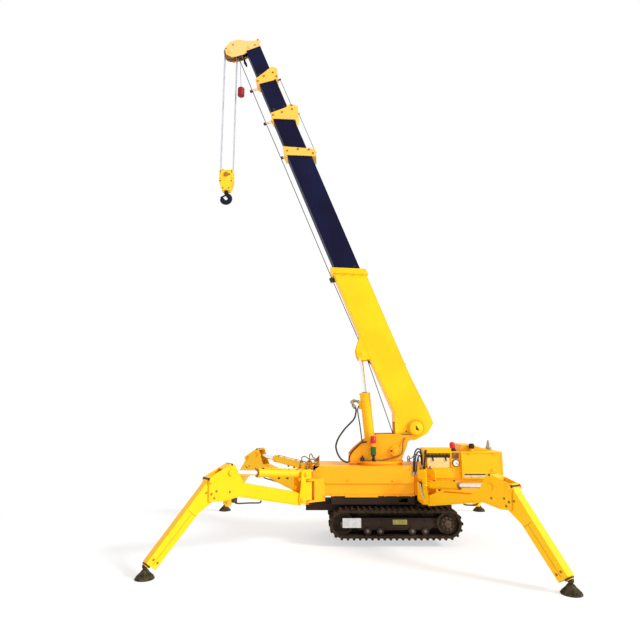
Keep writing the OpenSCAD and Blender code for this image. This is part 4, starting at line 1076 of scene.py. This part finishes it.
# A dark guard closes the inside of the loop: two half circles about the wheels, joined by
# straight sides
a = np.linspace(-np.pi / 2, np.pi / 2, 17)
loopX, loopZ = trackTrim["guard"] * np.cos(a), trackTrim["guard"] * np.sin(a)
guard = np.concatenate([np.stack([trackTrim["idler"] + loopX, wheelZ + loopZ], -1),
                        np.stack([trackTrim["sprocket"] - loopX, wheelZ - loopZ], -1)])
trackPieces = [("rollerCaps", rollers, capGrey, "grey_steel", 0.0008),
               ("plateHanger", hangers, frameBlack, "black_paint", 0),
               ("wheelCaps", wheels, hubIron, "dark_iron", 0.0008),
               ("sideFrame", framing, frameBlack, "black_paint", 0.001),
               ("innerGuard", [upright(guard, 0.256, 0.262)], frameBlack, "black_paint", 0.001),
               ("framePlate", [plate(-0.196, 0.024, 0.214, 0.322, 0.4185, 0.4215, 0.006)], plateWhite,
                "grey_steel", 0),
               ("yellowPlate", [plate(-0.747, -0.575, 0.244, 0.314, 0.3855, 0.3885, 0.005)], plateOlive,
                "grey_steel", 0)]
for side, mirror in (("left", np.eye(3)), ("right", np.diag([1, -1, 1]))):
    for name, shapes, material, slot, bevel in trackPieces:
        build(name + "_" + side, placed(joined(shapes), axes=mirror), material, "chassis",
              bevel=bevel)

# Deck: bolts, welds along its seam, caps on the king pins and, at its front corners, brown plates
# painted as the shade between the bracket plates
deckTrim = {"bolts": np.linspace(-0.82, 0.30, 8), "half": 0.300,
            "sideBolts": ((0.34, 0.87), (0.34, 0.74), (-0.60, 0.735), (-0.05, 0.735), (-0.82, 0.87))}
deckHeads = boltsAt(0.020, [(x, 0.310, 0.561) for x in deckTrim["bolts"]])
deckHeads += boltsAt(0.024, [(x, deckTrim["half"], z) for x, z in deckTrim["sideBolts"]])
build("deckBolts", bothSides(deckHeads), deckYellow, "chassis", bevel=0.0008)
seam = [tube([(-0.855, 0.2865, 0.699), (0.355, 0.2865, 0.699)], 0.004, 8),
        tube([(-0.8615, 0.269, 0.570), (-0.8615, 0.269, 0.900)], 0.003, 8)]
build("deckWelds", bothSides(seam), deckYellow, "chassis")
pinCap = joined([turned([(0.038, 0.7795), (0.038, 0.786), (0.030, 0.790)], 24),
                 placed(hexBolt(0.026), (0, 0, 0.789))])
build("kingPinCaps", bothSides([placed(pinCap, (x, y, 0)) for x, y in stance["king"].values()]),
      craneYellow, "chassis", bevel=0.001)
# brown plates at the front corners are painted shade between the bracket plates
build("cornerBracketShade", bothSides(upright([(0.300, 0.905), (0.374, 0.905), (0.374, 0.858),
                                           (0.345, 0.940), (0.300, 0.985)], 0.301, 0.309)), boltBrown,
      "chassis", bevel=0.001)
print("tracks and deck dressed")


# Outriggers: what is drawn once in a corner's own frames and built for each of the four
kneeX, kneeZ = outrigger["knee"]
for corner in corners:
    front = corner.startswith("front")
    end = outrigger["front" if front else "rear"]
    at = outriggerPlaces(corner)
    base = end["base"]
    body = corner + "_"
    # the post's pins end in keeper plates held by a bolt each, and two fittings stand on its top
    flat = joined([turned([(0.024, 0.092), (0.024, 0.098), (0.018, 0.101)], 20),
                   placed(hexBolt(0.018), (0, 0, 0.100))])
    ends = bothSides([placed(flat, (x, 0, z), faceLeft) for x, z in (outrigger["root"], base)])
    build(body + "pinEnds", ends, craneYellow, body + "post", at["post"], bevel=0.001)
    fitting = [block((0.030, y - 0.013, 0.884), (0.070, y + 0.013, 0.894)) for y in (-0.073, 0.073)]
    fitting += [placed(turned([(0.011, 0.888), (0.011, 0.912), (0.007, 0.916)], 6), (0.050, y, 0))
                for y in (-0.073, 0.073)]
    build(body + "postTop", fitting, hoseBrown, body + "post", at["post"], bevel=0.001)
    # two hoses loop from the post's top to the deck
    for n, y in enumerate((0.073, -0.073) if corner != "rear_left" else ()):
        rise = 0.045 if n else 0.070
        loopLocal = [(0.050, y, 0.915), (0.046, y, 0.915 + rise * 0.8), (0.000, y * 0.8, 0.920 + rise),
                     (-0.060, y * 0.5, 0.905 + rise * 0.6), (-0.105, y * 0.3, 0.885)]
        loopLocal = np.array(loopLocal) @ at["post"][1] + at["post"][0]
        inner = np.array([end["inner"], (0.262 - 0.05 * n) * (1 if corner.endswith("left") else -1),
                          0.915])
        path = np.concatenate([loopLocal[:4], [(loopLocal[3] + inner) / 2 + (0, 0, 0.012), inner]])
        across(body + "hose%d" % n, hose(path, outrigger["hose"], 10, 6), hoseBrown)
    # the cylinder: gland ring, wiper, ports above and below the barrel, and a pipe held by clips
    size = end["barrel"]
    gland = [turned([(0.044, size - 0.034), (0.0505, size - 0.032), (0.0505, size - 0.003),
                     (0.040, size)], 32)]
    inward = within((np.zeros(3), faceAhead), at["lift"])
    build(body + "gland", gland, craneYellow, body + "barrel", inward, bevel=0.001)
    build(body + "wiper", turned([(0.040, size - 0.002), (0.047, size), (0.047, size + 0.006),
                                  (0.034, size + 0.008)], 32), boltBrown, body + "barrel",
          inward, bevel=0.001)
    ports = [placed(turned([(0.014, 0.040), (0.014, 0.058), (0.010, 0.064)], 12), (x, 0, 0), faceDown)
             for x in end["ports"]]
    ports += [placed(turned([(0.012, 0.040), (0.012, 0.054), (0.009, 0.058)], 12), (x, 0, 0)) for x in
              (0.085, size - 0.075)]
    build(body + "ports", ports, pinSteel, body + "barrel", at["lift"], bevel=0.0008)
    pipe = hose([(0.085, 0, 0.056), (0.100, 0.008, 0.060), (0.130, 0.018, 0.055),
                 (size - 0.120, 0.018, 0.055), (size - 0.090, 0.008, 0.060), (size - 0.075, 0, 0.056)],
                0.0055, 8, 5)
    clips = [block((x - 0.008, 0.006, 0.040), (x + 0.008, 0.026, 0.062)) for x in (0.20, size - 0.18)]
    build(body + "pipe", [pipe] + clips, craneYellow, body + "barrel", at["lift"])
    # the arm: pin ends, bolts low on the knee plate, a bent rod under it and weld lines
    top = end["eyeZ"]
    armParts = [placed(turned([(0.030, 0.0745), (0.030, 0.080), (0.024, 0.083)], 24),
                       (outrigger["eyeX"], 0, top), faceLeft),
                placed(turned([(0.028, 0.081), (0.028, 0.088), (0.022, 0.091)], 24), (kneeX, 0, kneeZ),
                       faceLeft)]
    build(body + "armPins", bothSides(armParts), craneYellow, body + "arm", at["arm"],
          bevel=0.0008)
    kneeHeads = boltsAt(outrigger["bolt"], [(x, outrigger["armHalf"], z) for x, z in
                                            outrigger["kneeBolts"]])
    build(body + "kneeBolts", bothSides(kneeHeads), boltBrown, body + "arm", at["arm"],
          bevel=0.0008)
    # dark cross pins lie along the arm's two upper corners
    cornerPins = [bar((x, -0.068, z), (x, 0.068, z), radius, 14) for x, z, radius in
                  ((1.316, 0.872, 0.015), (1.052, top + end["cornerPin"], 0.012))]
    build(body + "cornerPins", cornerPins, pinSteel, body + "arm", at["arm"], bevel=0.002)
    if front:
        under = [hose([(0.990, 0.020, 0.662), (0.985, 0.020, 0.610), (0.950, 0.020, 0.586),
                       (0.800, 0.020, 0.574), (0.675, 0.020, 0.562), (0.655, 0.020, 0.572),
                       (0.650, 0.020, 0.592)], 0.0085, 8),
                 block((0.970, -0.010, 0.600), (1.010, 0.050, 0.664))]
    else:
        under = [hose([(0.600, 0.020, 0.584), (0.640, 0.020, 0.572), (0.760, 0.020, 0.590),
                       (0.800, 0.020, 0.606), (0.815, 0.020, 0.625)], 0.0085, 8)]
    build(body + "underRod", under, pinSteel, body + "arm", at["arm"], bevel=0.001)
    edge = [hose([(0.220, 0.0652, 0.508), (0.560, 0.0652, 0.584), (0.955, 0.0652, 0.672),
                  (1.165, 0.0652, 0.645)], 0.0022, 6, 10)]
    build(body + "armWelds", bothSides(edge), craneYellow, body + "arm", at["arm"])
    # the leg: bolts by the knee and above the ball, a split line down its side and a collar
    long = at["legLength"]
    legBolts = ((0.120, -0.050), (0.120, -0.115), (long - 0.060, -0.030), (long - 0.060, -0.085))
    legHeads = boltsAt(0.018, [(x, 0.050, z) for x, z in legBolts])
    build(body + "legBolts", bothSides(legHeads), boltBrown, body + "leg", at["leg"],
          bevel=0.0008)
    split = [plate(0.360, long - 0.020, -0.0585, -0.0545, 0.0495, 0.0508, 0.0012),
             plate(0.356, 0.360, -0.110, -0.004, 0.0495, 0.0508, 0.0012)]
    build(body + "legSplit", bothSides(split), seamBrown, body + "leg", at["leg"])
    socket = turned([(0.044, 0.0), (0.044, 0.010), (0.039, 0.014)], 28)
    build(body + "ballCollar", placed(socket, (long + 0.004, 0, -0.024), faceAhead), pinSteel,
          body + "leg", at["leg"], bevel=0.001)
    if corner == "rear_left":  # a dark plate painted as the shade in an opening of the post's side, and the handle that hangs beside it, coloured pale as a painted highlight
        # a dark plate as painted shade where the post's side opens
        build("postOpeningShade", upright([(0.020, 0.745), (0.075, 0.735), (0.060, 0.600)], -0.0855,
                                     -0.0815), pinSteel, body + "post", at["post"])
        # the handle is coloured pale as a painted highlight of its bright metal
        build("postHandleHighlight", hose([(0.046, -0.088, 0.720), (0.060, -0.096, 0.690),
                                  (0.070, -0.098, 0.640), (0.082, -0.098, 0.600),
                                  (0.098, -0.094, 0.575), (0.104, -0.084, 0.570)], 0.0075, 8),
              plateWhite, body + "post", at["post"])
    # the pad: ribs from its rim up to the socket, and a bolt between each two
    reachOut = stance["reach"]["front" if front else "rear"]
    rib = upright([(0.030, 0.012), (0.088, 0.012), (0.088, 0.020), (0.030, 0.074)], -0.004, 0.004)
    ribs = []
    for a in np.arange(outrigger["ribs"]) * 2 * math.pi / outrigger["ribs"]:
        spoke = [[math.cos(a), math.sin(a), 0], [-math.sin(a), math.cos(a), 0], [0, 0, 1]]
        between = (0.076 * math.cos(a + 0.39), 0.076 * math.sin(a + 0.39), 0.024)
        ribs += [placed(rib, axes=spoke), placed(hexBolt(0.012), between)]
    build(body + "padRibs", placed(joined(ribs), (reachOut, 0, 0)), padIron, body + "leg",
          at["post"], bevel=0.0008)
print("outriggers dressed")
